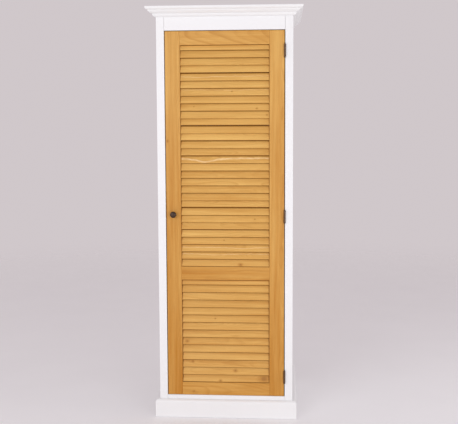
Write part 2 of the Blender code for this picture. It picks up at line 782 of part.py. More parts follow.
def hinge_half(name, centre, direction):
    """A leaf in the door gap with the half barrel that it carries."""
    knuckle = turned(
        name,
        knuckle_profile(direction),
        SMALL_STEPS,
        (HINGE_X, HINGE_Y, centre),
        (0, 0, 1),
        DARK_BRONZE,
    )
    outer = HINGE_BARREL_DIAMETER / 2
    bore = HINGE_PIN_DIAMETER / 2 + FIT_GAP
    root = (outer + bore) / 2
    plate_start = HINGE_OFFSET + FIT_GAP
    plate_end = plate_start + HINGE_LEAF_DEPTH
    half = HINGE_HEIGHT / 2 - FINIAL_HEIGHT
    tab_low = DOOR_SWING_GAP / 2 + FIT_GAP
    tab_high = half - HINGE_TAB_INSET
    outline = [
        (root, tab_low),
        (plate_start, tab_low),
        (plate_start, -half),
        (plate_end, -half),
        (plate_end, half),
        (plate_start, half),
        (plate_start, tab_high),
        (root, tab_high),
    ]
    if direction < 0:
        outline = [(across, -up) for across, up in reversed(outline)]
    mesh = outline_mesh(name + "_leaf", outline, LEAF_THICKNESS)
    mesh.transform(ALONG_X)
    leaf = add_object(name + "_leaf", mesh, None, cutter=True)
    shift = (FIT_GAP + LEAF_THICKNESS) / 2
    leaf.location = (HINGE_X - direction * shift, HINGE_Y, centre)
    combine(knuckle, leaf, "UNION")


def make_hinges():
    pin_radius = HINGE_PIN_DIAMETER / 2
    pin_length = HINGE_HEIGHT - 2 * FINIAL_HEIGHT - HINGE_BARREL_DIAMETER
    for place, centre in HINGE_CENTRES.items():
        hinge_half(f"hinge_{place}_door_leaf", centre, 1)
        hinge_half(f"hinge_{place}_frame_leaf", centre, -1)
        cylinder(
            f"hinge_{place}_pin",
            pin_radius,
            pin_length,
            (HINGE_X, HINGE_Y, centre),
            (0, 0, 1),
            DARK_BRONZE,
        )


# ---------------------------------------------------------------- door pivot
def hang_door():
    """Parent everything that swings to an empty on the hinge axis."""
    pivot = bpy.data.objects.new("door_pivot", None)
    PARTS.objects.link(pivot)
    pivot.location = (HINGE_X, HINGE_Y, 0)
    swinging = ("door_", "upper_louvre", "lower_louvre", "knob_screw", "catch_strike")
    for piece in list(PARTS.objects):
        leaf = piece.name.endswith("_door_leaf")
        if piece != pivot and (piece.name.startswith(swinging) or leaf):
            piece.parent = pivot
            piece.matrix_parent_inverse = Matrix.Translation(-pivot.location)


make_carcass()
make_face_frame()
make_mouldings()
make_interior()
make_catch()
make_door_frame()
make_slats()
make_knob()
make_hinges()
hang_door()
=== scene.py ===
"""Louvred wardrobe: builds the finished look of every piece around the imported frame.

Every board, slat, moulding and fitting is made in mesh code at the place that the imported
frame gives. Boards carry their own grain coordinates, so that figure, fibres and end grain
run through them as they do through sawn timber.
"""

import json
import math
import random

import bmesh
import bpy
from bpy.props import FloatProperty, FloatVectorProperty, PointerProperty
from mathutils import Matrix, Vector


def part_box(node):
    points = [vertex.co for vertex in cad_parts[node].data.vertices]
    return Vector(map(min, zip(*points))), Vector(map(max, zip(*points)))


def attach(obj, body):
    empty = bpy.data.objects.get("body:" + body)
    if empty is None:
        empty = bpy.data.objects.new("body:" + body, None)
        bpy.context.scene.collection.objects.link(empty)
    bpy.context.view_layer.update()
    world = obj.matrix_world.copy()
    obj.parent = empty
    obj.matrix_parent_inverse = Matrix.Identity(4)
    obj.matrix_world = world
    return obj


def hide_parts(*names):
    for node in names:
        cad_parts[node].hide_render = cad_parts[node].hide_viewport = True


bl_info = {
    "name": "Louvred Wardrobe",
    "version": (1, 0, 0),
    "blender": (4, 5, 0),
    "location": "View3D > Sidebar > Wardrobe",
    "description": "Builds the boards, slats, mouldings and fittings of a tall louvred wardrobe",
    "category": "Add Mesh",
}

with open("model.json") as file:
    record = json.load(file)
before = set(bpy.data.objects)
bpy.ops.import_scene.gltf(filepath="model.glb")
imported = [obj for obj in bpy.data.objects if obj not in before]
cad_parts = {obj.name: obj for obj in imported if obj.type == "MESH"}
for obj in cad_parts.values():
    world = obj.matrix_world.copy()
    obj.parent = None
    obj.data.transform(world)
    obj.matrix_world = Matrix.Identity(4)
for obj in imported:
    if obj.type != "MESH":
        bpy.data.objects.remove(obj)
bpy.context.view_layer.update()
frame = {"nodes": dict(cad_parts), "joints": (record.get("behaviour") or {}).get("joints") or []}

X_AXIS = Vector((1, 0, 0))
Y_AXIS = Vector((0, 1, 0))
Z_AXIS = Vector((0, 0, 1))
AXES = (X_AXIS, Y_AXIS, Z_AXIS)

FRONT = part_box("face_stile_left")[0].y
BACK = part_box("back_panel")[1].y
HALF_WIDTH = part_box("top_panel")[1].x
HINGE_AXIS = Vector(frame["joints"][0]["pos_m"])

# The finish that goes on each of the frame's material slots.
SLOT_FINISHES = {
    "white_paint": "satin_paint",
    "honey_pine": "stained_pine",
    "dark_bronze": "rubbed_bronze",
    "polished_steel": "plated_steel",
    "catch_plastic": "moulded_plastic",
}


# ---------------------------------------------------------------- settings
def length(name, description, default):
    """A size in metres."""
    return FloatProperty(
        name=name, description=description, default=default, min=0.0, unit="LENGTH"
    )


def amount(name, description, default):
    """A plain number."""
    return FloatProperty(name=name, description=description, default=default)


def turn(name, description, default):
    """An angle, given in degrees."""
    return FloatProperty(
        name=name, description=description, default=math.radians(default), subtype="ANGLE"
    )


def colour(name, description, default):
    """A linear colour."""
    return FloatVectorProperty(
        name=name,
        description=description,
        default=default,
        subtype="COLOR",
        size=3,
        min=0.0,
        max=1.0,
    )


class WardrobeSizes(bpy.types.PropertyGroup):
    """Sizes of the joinery and the fittings."""

    fit_gap: length("Fit gap", "Between pieces that touch", 0.0003)
    paint_arris: length("Painted arris", "Rounding of painted boards' edges", 0.0016)
    joint_arris: length("Joint arris", "Rounding where two boards are butted flush", 0.0004)
    frame_joint: length("Frame joint", "Rounding beside the face frame's joints", 0.0008)
    pine_arris: length("Door arris", "Rounding of the door's outer edges", 0.0016)
    slat_width: length("Slat width", "Width of a louvre slat", 0.040)
    slat_thickness: length("Slat thickness", "Thickness of a louvre slat", 0.006)
    slat_round: length("Slat rounding", "Rounding of a slat's long edges", 0.0022)
    slat_tilt: turn("Slat tilt", "Lean of the slats, lower edge outward", 22)
    slat_spacing: length("Slat spacing", "Wanted distance from slat to slat", 0.0354)
    slat_setback: length("Slat setback", "Lower front edge behind the door's face", 0.0008)
    slat_wander: length("Slat wander", "Largest unevenness of a slat's bow and height", 0.00035)
    top_slat_shown: length("Top slat shown", "Height of the cut-down top slat", 0.0236)
    nail_head: length("Nail head", "Diameter of the back panel's nail heads", 0.006)
    nail_spacing: length("Nail spacing", "Wanted distance between back panel nails", 0.19)


class WardrobeFinishes(bpy.types.PropertyGroup):
    """Colours of the finishes."""

    paint: colour("Paint", "Satin white paint", (0.85, 0.85, 0.855))
    paint_thin: colour("Thin paint", "Paint where it is thin, on arrises", (0.82, 0.815, 0.81))
    pine_light: colour("Light pine", "Wood that took little stain", (0.848, 0.530, 0.158))
    pine_deep: colour("Deep pine", "Wood that took much stain", (0.500, 0.200, 0.020))
    pine_dark: colour("Dark pine", "Stained latewood", (0.400, 0.150, 0.014))
    pine_pale: colour("Pale pine", "Sapwood that took hardly any stain", (0.930, 0.660, 0.330))
    # Painted shade: the dark brown that stands for shade on the slats, under the slat above, beside the
    # stiles and along their lower edges.
    painted_shade: colour("Pooled stain", "Where stain gathered in a corner", (0.240, 0.085, 0.006))
    knot: colour("Knot", "Heart of a knot", (0.240, 0.095, 0.022))
    bronze: colour("Bronze", "Oil-rubbed bronze", (0.050, 0.032, 0.026))
    bronze_worn: colour("Worn bronze", "Bronze where hands rub it", (0.150, 0.090, 0.055))
    steel: colour("Steel", "Zinc or chrome plate", (0.62, 0.62, 0.63))
    plastic: colour("Plastic", "Moulded catch body", (0.80, 0.79, 0.76))
    floor: colour("Floor", "Plain pale floor", (0.925, 0.918, 0.926))


class WardrobeStudio(bpy.types.PropertyGroup):
    """Camera and light."""

    lens: FloatProperty(name="Lens", description="Focal length in millimetres", default=64.463)
    eye_side: length("Eye to the right", "Camera right of the middle", 0.2729)
    eye_distance: length("Eye distance", "Camera in front of the face frame", 3.840)
    eye_height: length("Eye height", "Camera above the floor", 1.4235)
    pan: turn("Pan", "Camera turned to the left", 3.7873)
    dip: turn("Dip", "Camera tipped down", 5.3113)
    roll: turn("Roll", "Camera rolled", -0.2406)
    rise: FloatProperty(name="Rise", description="Vertical shift of the lens", default=-0.03275)
    key_power: amount("Key power", "Watts of the large soft light", 40.5)
    fill_power: amount("Fill power", "Watts of the fill light", 32.0)
    side_power: amount("Side power", "Watts of the light from the right", 14.0)
    light: colour("Light colour", "Colour of all three lights", (0.945, 0.985, 1.0))
    sky: colour("Surroundings", "Colour of the empty studio", (0.630, 0.575, 0.594))
    floor_fades: length("Floor fades", "Radius at which the floor starts to fade", 2.6)
    floor_ends: length("Floor ends", "Radius at which the floor has faded out", 6.0)


def sizes():
    return bpy.context.scene.wardrobe_sizes


def finishes():
    return bpy.context.scene.wardrobe_finishes


def studio():
    return bpy.context.scene.wardrobe_studio


# ---------------------------------------------------------------- node helpers
def new_group(name, inputs, outputs):
    """An empty shader group with named sockets, and its input and output nodes."""
    group = bpy.data.node_groups.new(name, "ShaderNodeTree")
    for label, kind, default in inputs:
        socket = group.interface.new_socket(name=label, in_out="INPUT", socket_type=kind)
        if default is not None:
            socket.default_value = default
    for label, kind in outputs:
        group.interface.new_socket(name=label, in_out="OUTPUT", socket_type=kind)
    return group, group.nodes.new("NodeGroupInput"), group.nodes.new("NodeGroupOutput")


def feed(tree, socket, value):
    """Link an output to a socket, or set the socket to a plain value."""
    if isinstance(value, bpy.types.NodeSocket):
        tree.links.new(value, socket)
    else:
        socket.default_value = value


def maths(tree, operation, *values, clamp=False):
    """A Math node and its result."""
    node = tree.nodes.new("ShaderNodeMath")
    node.operation = operation
    node.use_clamp = clamp
    for socket, value in zip(node.inputs, values):
        feed(tree, socket, value)
    return node.outputs[0]


def vector_maths(tree, operation, *values):
    """A Vector Math node and its vector result."""
    node = tree.nodes.new("ShaderNodeVectorMath")
    node.operation = operation
    for socket, value in zip(node.inputs, values):
        feed(tree, socket, value)
    return node.outputs["Vector"]


def split(tree, vector):
    """The three numbers of a vector."""
    node = tree.nodes.new("ShaderNodeSeparateXYZ")
    feed(tree, node.inputs[0], vector)
    return tuple(node.outputs)


def join(tree, x, y, z):
    """A vector from three numbers."""
    node = tree.nodes.new("ShaderNodeCombineXYZ")
    for socket, value in zip(node.inputs, (x, y, z)):
        feed(tree, socket, value)
    return node.outputs[0]


def noise(tree, vector, stretch, detail=2.0, roughness=0.5):
    """Noise with its own scale along each axis, from 0 to 1."""
    node = tree.nodes.new("ShaderNodeTexNoise")
    feed(tree, node.inputs["Vector"], vector_maths(tree, "MULTIPLY", vector, stretch))
    node.inputs["Scale"].default_value = 1.0
    node.inputs["Detail"].default_value = detail
    node.inputs["Roughness"].default_value = roughness
    return node.outputs[0]


def ease(tree, value, low, high, start=0.0, end=1.0):
    """A smooth step of value from low to high."""
    node = tree.nodes.new("ShaderNodeMapRange")
    node.interpolation_type = "SMOOTHSTEP"
    for socket, number in zip(node.inputs, (value, low, high, start, end)):
        feed(tree, socket, number)
    return node.outputs[0]


def blend(tree, factor, first, second, kind="MIX"):
    """A colour mix; plain colours may be given as three numbers."""
    node = tree.nodes.new("ShaderNodeMix")
    node.data_type = "RGBA"
    node.blend_type = kind
    feed(tree, node.inputs["Factor"], factor)
    for socket, value in ((node.inputs[6], first), (node.inputs[7], second)):
        plain = not isinstance(value, bpy.types.NodeSocket)
        feed(tree, socket, (*value, 1.0) if plain else value)
    return node.outputs[2]


def own_value(tree, name, output="Vector"):
    """A value that the mesh carries at its points."""
    node = tree.nodes.new("ShaderNodeAttribute")
    node.attribute_name = name
    return node.outputs[output]


def use_group(tree, name, **inputs):
    """A copy of a shader group; spaces in socket names are written as underscores."""
    node = tree.nodes.new("ShaderNodeGroup")
    node.node_tree = bpy.data.node_groups[name]
    for label, value in inputs.items():
        feed(tree, node.inputs[label.replace("_", " ")], value)
    return node.outputs


def new_material(name, roughness, metallic=0.0, **constants):
    """A material with its Principled shader; constants go straight onto its sockets."""
    material = bpy.data.materials.new(name)
    material.use_nodes = True
    shader = material.node_tree.nodes["Principled BSDF"]
    feed(material.node_tree, shader.inputs["Roughness"], roughness)
    shader.inputs["Metallic"].default_value = metallic
    for label, value in constants.items():
        shader.inputs[label.replace("_", " ")].default_value = value
    return material, material.node_tree, shader


def bump(tree, shader, height, distance, strength=1.0):
    """Let a height change the shading of the surface."""
    node = tree.nodes.new("ShaderNodeBump")
    node.inputs["Strength"].default_value = strength
    node.inputs["Distance"].default_value = distance
    feed(tree, node.inputs["Height"], height)
    feed(tree, shader.inputs["Normal"], node.outputs[0])


# ---------------------------------------------------------------- shared effects
def make_timber_group():
    """Growth rings, fibres and stain of a sawn board, from its grain coordinates.

    The log vector holds the rings' taper along the board, their width and their contrast.
    """
    tree, given, result = new_group(
        "timber",
        [
            ("Grain", "NodeSocketVector", None),
            ("Log", "NodeSocketVector", None),
            ("Shift", "NodeSocketFloat", 0.0),
        ],
        [
            ("Figure", "NodeSocketFloat"),
            ("Fibre", "NodeSocketFloat"),
            ("Fleck", "NodeSocketFloat"),
            ("Cloud", "NodeSocketFloat"),
            ("Band", "NodeSocketFloat"),
        ],
    )
    grain = given.outputs["Grain"]
    taper, ring, contrast = split(tree, given.outputs["Log"])
    along, across, depth = split(tree, grain)
    drift_across = maths(tree, "SUBTRACT", noise(tree, grain, (1.7, 6, 6)), 0.5)
    shifted = vector_maths(tree, "ADD", grain, (7.3, 2.1, 4.7))
    drift_depth = maths(tree, "SUBTRACT", noise(tree, shifted, (2.3, 5, 5)), 0.5)
    across = maths(tree, "MULTIPLY_ADD", drift_across, 0.05, across)
    depth = maths(tree, "MULTIPLY_ADD", drift_depth, 0.05, depth)
    squares = maths(tree, "ADD", maths(tree, "POWER", across, 2.0), maths(tree, "POWER", depth, 2.0))
    distance = maths(tree, "SQRT", squares)
    distance = maths(tree, "MULTIPLY_ADD", along, taper, distance)
    ripple = maths(tree, "SUBTRACT", noise(tree, grain, (14, 70, 70)), 0.5)
    distance = maths(tree, "MULTIPLY_ADD", ripple, 0.0024, distance)
    distance = maths(tree, "ADD", distance, given.outputs["Shift"])
    rings = maths(tree, "DIVIDE", distance, ring)
    year = maths(tree, "FLOOR", rings)
    season = maths(tree, "FRACT", rings)
    luck = tree.nodes.new("ShaderNodeTexWhiteNoise")
    luck.noise_dimensions = "1D"
    feed(tree, luck.inputs["W"], year)
    strength = maths(tree, "MULTIPLY_ADD", luck.outputs["Value"], 0.7, 0.3)
    late = ease(tree, season, 0.30, 0.86)
    late = maths(tree, "MULTIPLY", late, ease(tree, season, 0.88, 1.0, 1.0, 0.0))
    late = maths(tree, "MULTIPLY", late, contrast)
    feed(tree, result.inputs["Figure"], maths(tree, "MULTIPLY", late, strength))
    feed(tree, result.inputs["Fibre"], noise(tree, grain, (16, 620, 620), 3.0, 0.6))
    fleck = ease(tree, noise(tree, grain, (45, 1500, 1500), 1.0), 0.66, 0.80)
    feed(tree, result.inputs["Fleck"], fleck)
    feed(tree, result.inputs["Cloud"], noise(tree, grain, (1.6, 16, 16), 3.0, 0.55))
    feed(tree, result.inputs["Band"], noise(tree, grain, (2.6, 78, 78), 3.0, 0.6))


def make_knot_group():
    """A knot at a place that the board carries as (along, across, radius)."""
    tree, given, result = new_group(
        "knot",
        [("Place", "NodeSocketVector", None)],
        [
            ("Core", "NodeSocketFloat"),
            ("Halo", "NodeSocketFloat"),
            ("Swirl", "NodeSocketFloat"),
            ("Rings", "NodeSocketFloat"),
        ],
    )
    along, across, radius = split(tree, given.outputs["Place"])
    flat = join(tree, maths(tree, "MULTIPLY", along, 0.8), across, 0.0)
    rough = noise(tree, flat, (260, 260, 260))
    distance = tree.nodes.new("ShaderNodeVectorMath")
    distance.operation = "LENGTH"
    feed(tree, distance.inputs[0], flat)
    share = maths(tree, "DIVIDE", distance.outputs["Value"], radius)
    share = maths(tree, "ADD", share, maths(tree, "MULTIPLY_ADD", rough, 0.7, -0.35))
    feed(tree, result.inputs["Core"], ease(tree, share, 0.45, 1.25, 1.0, 0.0))
    feed(tree, result.inputs["Halo"], ease(tree, share, 0.80, 3.20, 1.0, 0.0))
    flattening = maths(tree, "POWER", maths(tree, "DIVIDE", share, 1.6), 2.0)
    swirl = maths(tree, "DIVIDE", radius, maths(tree, "ADD", flattening, 1.0))
    feed(tree, result.inputs["Swirl"], swirl)
    feed(tree, result.inputs["Rings"], maths(tree, "FRACT", maths(tree, "MULTIPLY", share, 3.0)))


def make_streak_group():
    """A pale wavy band of sapwood, from the board's (along, across, half width)."""
    tree, given, result = new_group(
        "pale_streak",
        [
            ("Place", "NodeSocketVector", None),
            ("Dip", "NodeSocketFloat", 4.5),
            ("Spread", "NodeSocketFloat", 0.045),
        ],
        [("Pale", "NodeSocketFloat")],
    )
    along, across, half = split(tree, given.outputs["Place"])
    reach = maths(tree, "POWER", maths(tree, "DIVIDE", along, given.outputs["Spread"]), 2.0)
    sink = maths(tree, "MULTIPLY", given.outputs["Dip"], half)
    sink = maths(tree, "DIVIDE", sink, maths(tree, "ADD", reach, 1.0))
    line = join(tree, along, 0.0, 0.0)
    wave = maths(tree, "MULTIPLY_ADD", noise(tree, line, (38, 1, 1)), 0.008, -0.004)
    off = maths(tree, "ABSOLUTE", maths(tree, "ADD", maths(tree, "ADD", across, sink), wave))
    swell = maths(tree, "MULTIPLY_ADD", noise(tree, line, (23, 1, 1)), 1.6, 0.3)
    half = maths(tree, "MULTIPLY", half, swell)
    pale = ease(tree, maths(tree, "DIVIDE", off, half), 0.35, 1.35, 1.0, 0.0)
    fading = ease(tree, noise(tree, line, (17, 1, 1)), 0.35, 0.62, 0.45, 1.0)
    feed(tree, result.inputs["Pale"], maths(tree, "MULTIPLY", pale, fading))


def make_brushed_group():
    """Brush and roller marks of a paint coat over wood, from the board's grain coordinates."""
    tree, given, result = new_group(
        "brushed_coat",
        [("Grain", "NodeSocketVector", None), ("Texture", "NodeSocketFloat", 1.0)],
        [("Height", "NodeSocketFloat"), ("Mottle", "NodeSocketFloat")],
    )
    grain = given.outputs["Grain"]
    strokes = noise(tree, grain, (7, 330, 330), 3.0, 0.6)
    stipple = noise(tree, grain, (520, 520, 520), 2.0)
    swell = noise(tree, grain, (5, 38, 38), 2.0)
    height = maths(tree, "MULTIPLY_ADD", strokes, 0.55, maths(tree, "MULTIPLY", stipple, 0.25))
    height = maths(tree, "MULTIPLY_ADD", swell, 0.6, height)
    height = maths(tree, "MULTIPLY", height, given.outputs["Texture"])
    feed(tree, result.inputs["Height"], height)
    feed(tree, result.inputs["Mottle"], noise(tree, grain, (2.5, 14, 14), 4.0, 0.6))


def make_patina_group():
    """Blotches and fine pitting of a metal surface."""
    tree, given, result = new_group(
        "patina",
        [("Place", "NodeSocketVector", None), ("Size", "NodeSocketFloat", 0.004)],
        [("Blotch", "NodeSocketFloat"), ("Grit", "NodeSocketFloat")],
    )
    scale = maths(tree, "DIVIDE", 1.0, given.outputs["Size"])
    spot = vector_maths(tree, "MULTIPLY", given.outputs["Place"], join(tree, scale, scale, scale))
    feed(tree, result.inputs["Blotch"], ease(tree, noise(tree, spot, (1, 1, 1), 4.0), 0.35, 0.65))
    feed(tree, result.inputs["Grit"], noise(tree, spot, (9, 9, 9), 2.0))


# ---------------------------------------------------------------- finishes
def make_pine():
    """Honey-stained pine under a thin satin lacquer."""
    look = finishes()
    material, tree, shader = new_material(
        "stained_pine", 0.5, Coat_Weight=0.04, Coat_Roughness=0.3, Specular_IOR_Level=0.25
    )
    first = use_group(tree, "knot", Place=own_value(tree, "knot_a"))
    second = use_group(tree, "knot", Place=own_value(tree, "knot_b"))
    swirl = maths(tree, "ADD", first["Swirl"], second["Swirl"])
    timber = use_group(
        tree, "timber", Grain=own_value(tree, "grain"), Log=own_value(tree, "log"), Shift=swirl
    )
    pale = use_group(tree, "pale_streak", Place=own_value(tree, "streak"))["Pale"]
    # The tone is partly the wood's own stain and partly painted light on the door's boards and slats.
    stain = maths(tree, "MULTIPLY_ADD", own_value(tree, "tone", "Fac"), 0.5, 0.5)
    cloud = maths(tree, "SUBTRACT", timber["Cloud"], 0.5)
    band = maths(tree, "SUBTRACT", timber["Band"], 0.5)
    stain = maths(tree, "MULTIPLY_ADD", cloud, 0.67, stain)
    stain = maths(tree, "MULTIPLY_ADD", band, 0.79, stain, clamp=True)
    body = blend(tree, stain, look.pine_deep, look.pine_light)
    body = blend(tree, timber["Figure"], body, look.pine_dark)
    fibre = maths(tree, "MULTIPLY_ADD", timber["Fibre"], 0.30, 0.85)
    body = blend(tree, 1.0, body, join(tree, fibre, fibre, fibre), "MULTIPLY")
    body = blend(tree, maths(tree, "MULTIPLY", timber["Fleck"], 0.35), body, look.pine_dark)
    body = blend(tree, maths(tree, "MULTIPLY", pale, 0.85), body, look.pine_pale)
    for knot in (first, second):
        halo = maths(tree, "MULTIPLY", knot["Halo"], 0.50)
        body = blend(tree, halo, body, look.pine_dark)
        heart = maths(tree, "MULTIPLY_ADD", knot["Rings"], -0.65, 0.75)
        body = blend(tree, maths(tree, "MULTIPLY", knot["Core"], heart), body, look.knot)
    # The arrises are a little darker: painted shade for the door's gaps, which also dims the light the
    # rounded edges catch.
    edge = maths(tree, "MULTIPLY", own_value(tree, "edge", "Fac"), 0.12)
    body = blend(tree, edge, body, look.pine_dark)
    # Painted shade on the slats: a dark line where the slat above overhangs each one, darker ends beside
    # the stiles, and a darker lower edge.
    end, hidden, half = split(tree, own_value(tree, "crevice"))
    end = maths(tree, "SUBTRACT", half, maths(tree, "ABSOLUTE", end))
    painted_shade = ease(tree, hidden, -0.0060, -0.0026)
    painted_shade = maths(tree, "MAXIMUM", painted_shade, ease(tree, end, 0.0, 0.0045, 0.85, 0.0))
    foot = ease(tree, own_value(tree, "foot", "Fac"), 0.0000, 0.0020, 0.45, 0.0)
    painted_shade = maths(tree, "MAXIMUM", painted_shade, foot)
    body = blend(tree, maths(tree, "MULTIPLY", painted_shade, 0.92), body, look.painted_shade)
    feed(tree, shader.inputs["Base Color"], body)
    rough = maths(tree, "MULTIPLY_ADD", timber["Fibre"], 0.16, 0.40)
    feed(tree, shader.inputs["Roughness"], maths(tree, "MULTIPLY_ADD", cloud, 0.10, rough))
    height = maths(tree, "MULTIPLY_ADD", timber["Figure"], 0.5, timber["Fibre"])
    bump(tree, shader, height, 0.00012, 0.6)


def make_paint():
    """Satin white paint over pine; the grain barely shows through."""
    look = finishes()
    material, tree, shader = new_material(
        "satin_paint", 0.38, Specular_IOR_Level=0.42, Coat_Weight=0.05, Coat_Roughness=0.3
    )
    grain = own_value(tree, "grain")
    coat = use_group(tree, "brushed_coat", Grain=grain)
    timber = use_group(tree, "timber", Grain=grain, Log=own_value(tree, "log"))
    thin = maths(tree, "MULTIPLY", own_value(tree, "edge", "Fac"), 0.5)
    body = blend(tree, thin, look.paint, look.paint_thin)
    mottle = maths(tree, "MULTIPLY_ADD", coat["Mottle"], 0.030, 0.985)
    body = blend(tree, 1.0, body, join(tree, mottle, mottle, mottle), "MULTIPLY")
    telegraph = maths(tree, "MULTIPLY", timber["Figure"], 0.10)
    body = blend(tree, telegraph, body, look.paint_thin)
    feed(tree, shader.inputs["Base Color"], body)
    feed(tree, shader.inputs["Roughness"], maths(tree, "MULTIPLY_ADD", coat["Mottle"], 0.14, 0.33))
    height = maths(tree, "MULTIPLY_ADD", timber["Figure"], 0.35, coat["Height"])
    bump(tree, shader, height, 0.00010, 0.5)


def make_bronze():
    """Dark oil-rubbed bronze, rubbed lighter on its edges."""
    look = finishes()
    material, tree, shader = new_material("rubbed_bronze", 0.42, 0.85)
    patina = use_group(tree, "patina", Place=own_value(tree, "grain"), Size=0.005)
    rubbed = maths(tree, "MULTIPLY", own_value(tree, "edge", "Fac"), 0.55)
    rubbed = maths(tree, "MULTIPLY_ADD", patina["Blotch"], 0.28, rubbed, clamp=True)
    feed(tree, shader.inputs["Base Color"], blend(tree, rubbed, look.bronze, look.bronze_worn))
    rough = maths(tree, "MULTIPLY_ADD", patina["Blotch"], -0.12, 0.46)
    feed(tree, shader.inputs["Roughness"], rough)
    bump(tree, shader, patina["Grit"], 0.00006, 0.5)


def make_steel():
    """Bright plated steel with faint handling marks."""
    look = finishes()
    material, tree, shader = new_material("plated_steel", 0.2, 1.0)
    grain = own_value(tree, "grain")
    patina = use_group(tree, "patina", Place=grain, Size=0.010)
    marks = noise(tree, grain, (12, 900, 900), 2.0)
    shade = maths(tree, "MULTIPLY_ADD", patina["Blotch"], 0.06, 0.95)
    tint = blend(tree, 1.0, look.steel, join(tree, shade, shade, shade), "MULTIPLY")
    feed(tree, shader.inputs["Base Color"], tint)
    feed(tree, shader.inputs["Roughness"], maths(tree, "MULTIPLY_ADD", marks, 0.16, 0.12))
    bump(tree, shader, marks, 0.00002, 0.4)


def make_plastic():
    """Moulded off-white plastic with a fine grain."""
    look = finishes()
    material, tree, shader = new_material("moulded_plastic", 0.5, Specular_IOR_Level=0.45)
    patina = use_group(tree, "patina", Place=own_value(tree, "grain"), Size=0.0016)
    shade = maths(tree, "MULTIPLY_ADD", patina["Blotch"], 0.04, 0.96)
    tint = blend(tree, 1.0, look.plastic, join(tree, shade, shade, shade), "MULTIPLY")
    feed(tree, shader.inputs["Base Color"], tint)
    feed(tree, shader.inputs["Roughness"], maths(tree, "MULTIPLY_ADD", patina["Grit"], 0.2, 0.4))
    bump(tree, shader, patina["Grit"], 0.00004, 0.5)


def make_floor_finish():
    """Pale floor with a faint mottle."""
    look = finishes()
    material, tree, shader = new_material("pale_floor", 0.6, Specular_IOR_Level=0.3)
    place = tree.nodes.new("ShaderNodeTexCoord").outputs["Object"]
    mottle = noise(tree, place, (3, 3, 3), 4.0)
    shade = maths(tree, "MULTIPLY_ADD", mottle, 0.04, 0.98)
    tint = blend(tree, 1.0, look.floor, join(tree, shade, shade, shade), "MULTIPLY")
    feed(tree, shader.inputs["Base Color"], tint)
    radius = tree.nodes.new("ShaderNodeVectorMath")
    radius.operation = "LENGTH"
    feed(tree, radius.inputs[0], place)
    reach = radius.outputs["Value"]
    fade = ease(tree, reach, studio().floor_fades, studio().floor_ends, 1.0, 0.0)
    feed(tree, shader.inputs["Alpha"], fade)


# ---------------------------------------------------------------- mesh helpers
def arc(centre, radius, first, last, steps):
    """Points on an arc, in degrees, both ends included."""
    angles = [math.radians(first + (last - first) * i / steps) for i in range(steps + 1)]
    return [(centre[0] + radius * math.cos(a), centre[1] + radius * math.sin(a)) for a in angles]


def rounded_section(width, thickness, radii, steps=4):
    """A board's section (across, depth), anticlockwise from its (+, +) corner."""
    points = []
    signs = ((1, 1, 0), (-1, 1, 90), (-1, -1, 180), (1, -1, 270))
    for (side, face, start), radius in zip(signs, radii):
        centre = (side * (width / 2 - radius), face * (thickness / 2 - radius))
        points += arc(centre, radius, start, start + 90, steps)
    return points


def skin(work, rings, closed_ends=True):
    """Join rings of points with faces; a ring of one point closes to a tip."""
    made = [[work.verts.new(point) for point in ring] for ring in rings]
    for first, second in zip(made, made[1:]):
        count = max(len(first), len(second))
        for i in range(count):
            j = (i + 1) % count
            corners = [first[i % len(first)], first[j % len(first)]]
            corners += [second[j % len(second)], second[i % len(second)]]
            corners = list(dict.fromkeys(corners))
            if len(corners) > 2:
                work.faces.new(corners)
    if closed_ends:
        for ring in (made[0], made[-1]):
            if len(ring) > 2:
                work.faces.new(ring)
    return made


def mesh_from(name, work):
    """A mesh with its faces turned outwards."""
    bmesh.ops.recalc_face_normals(work, faces=work.faces)
    mesh = bpy.data.meshes.new(name)
    work.to_mesh(mesh)
    work.free()
    return mesh


def write_attribute(mesh, name, kind, values):
    """Store one value for each point of a mesh."""
    attribute = mesh.attributes.new(name, kind, "POINT")
    field = "vector" if kind == "FLOAT_VECTOR" else "value"
    flat = [number for value in values for number in value] if field == "vector" else values
    attribute.data.foreach_set(field, flat)


def edge_marks(mesh):
    """How sharply the surface turns outward at each point, from 0 to 1."""
    work = bmesh.new()
    work.from_mesh(mesh)
    soft, sharp = math.radians(13), math.radians(24)
    marks = []
    for vertex in work.verts:
        angle = max(
            (edge.calc_face_angle_signed(0.0) for edge in vertex.link_edges), default=0.0
        )
        marks.append(min(1.0, max(0.0, (angle - soft) / (sharp - soft))))
    work.free()
    return marks


PLAIN_LOG = (0.006, 0.0035, 0.6)


def dress(mesh, grain_offset=(0.0, 0.0, 0.0), tones=(0.0, 0.0), log=PLAIN_LOG):
    """Give a mesh its grain coordinates, log, tone and edge marks, and smooth shading.

    The tones are those at the two ends of its length, from deep (-1) to light (1).
    """
    offset = Vector(grain_offset)
    points = mesh.vertices
    half = max(max(abs(point.co.x) for point in points), 1e-6)
    middle, slope = (tones[0] + tones[1]) / 2, (tones[1] - tones[0]) / 2
    write_attribute(mesh, "grain", "FLOAT_VECTOR", [point.co + offset for point in points])
    write_attribute(mesh, "tone", "FLOAT", [middle + slope * point.co.x / half for point in points])
    write_attribute(mesh, "log", "FLOAT_VECTOR", [log] * len(points))
    write_attribute(mesh, "edge", "FLOAT", edge_marks(mesh))
    mesh.shade_smooth()
    mesh.set_sharp_from_angle(angle=math.radians(38))


def timber_offset(name):
    """Where in its log a board was sawn, and its tone: the same for a name each time."""
    luck = random.Random(name)
    heart = luck.choice((-1, 1)) * luck.uniform(0.028, 0.075)
    return (luck.uniform(-30, 30), luck.uniform(-0.05, 0.05), heart), luck.uniform(-1, 1)


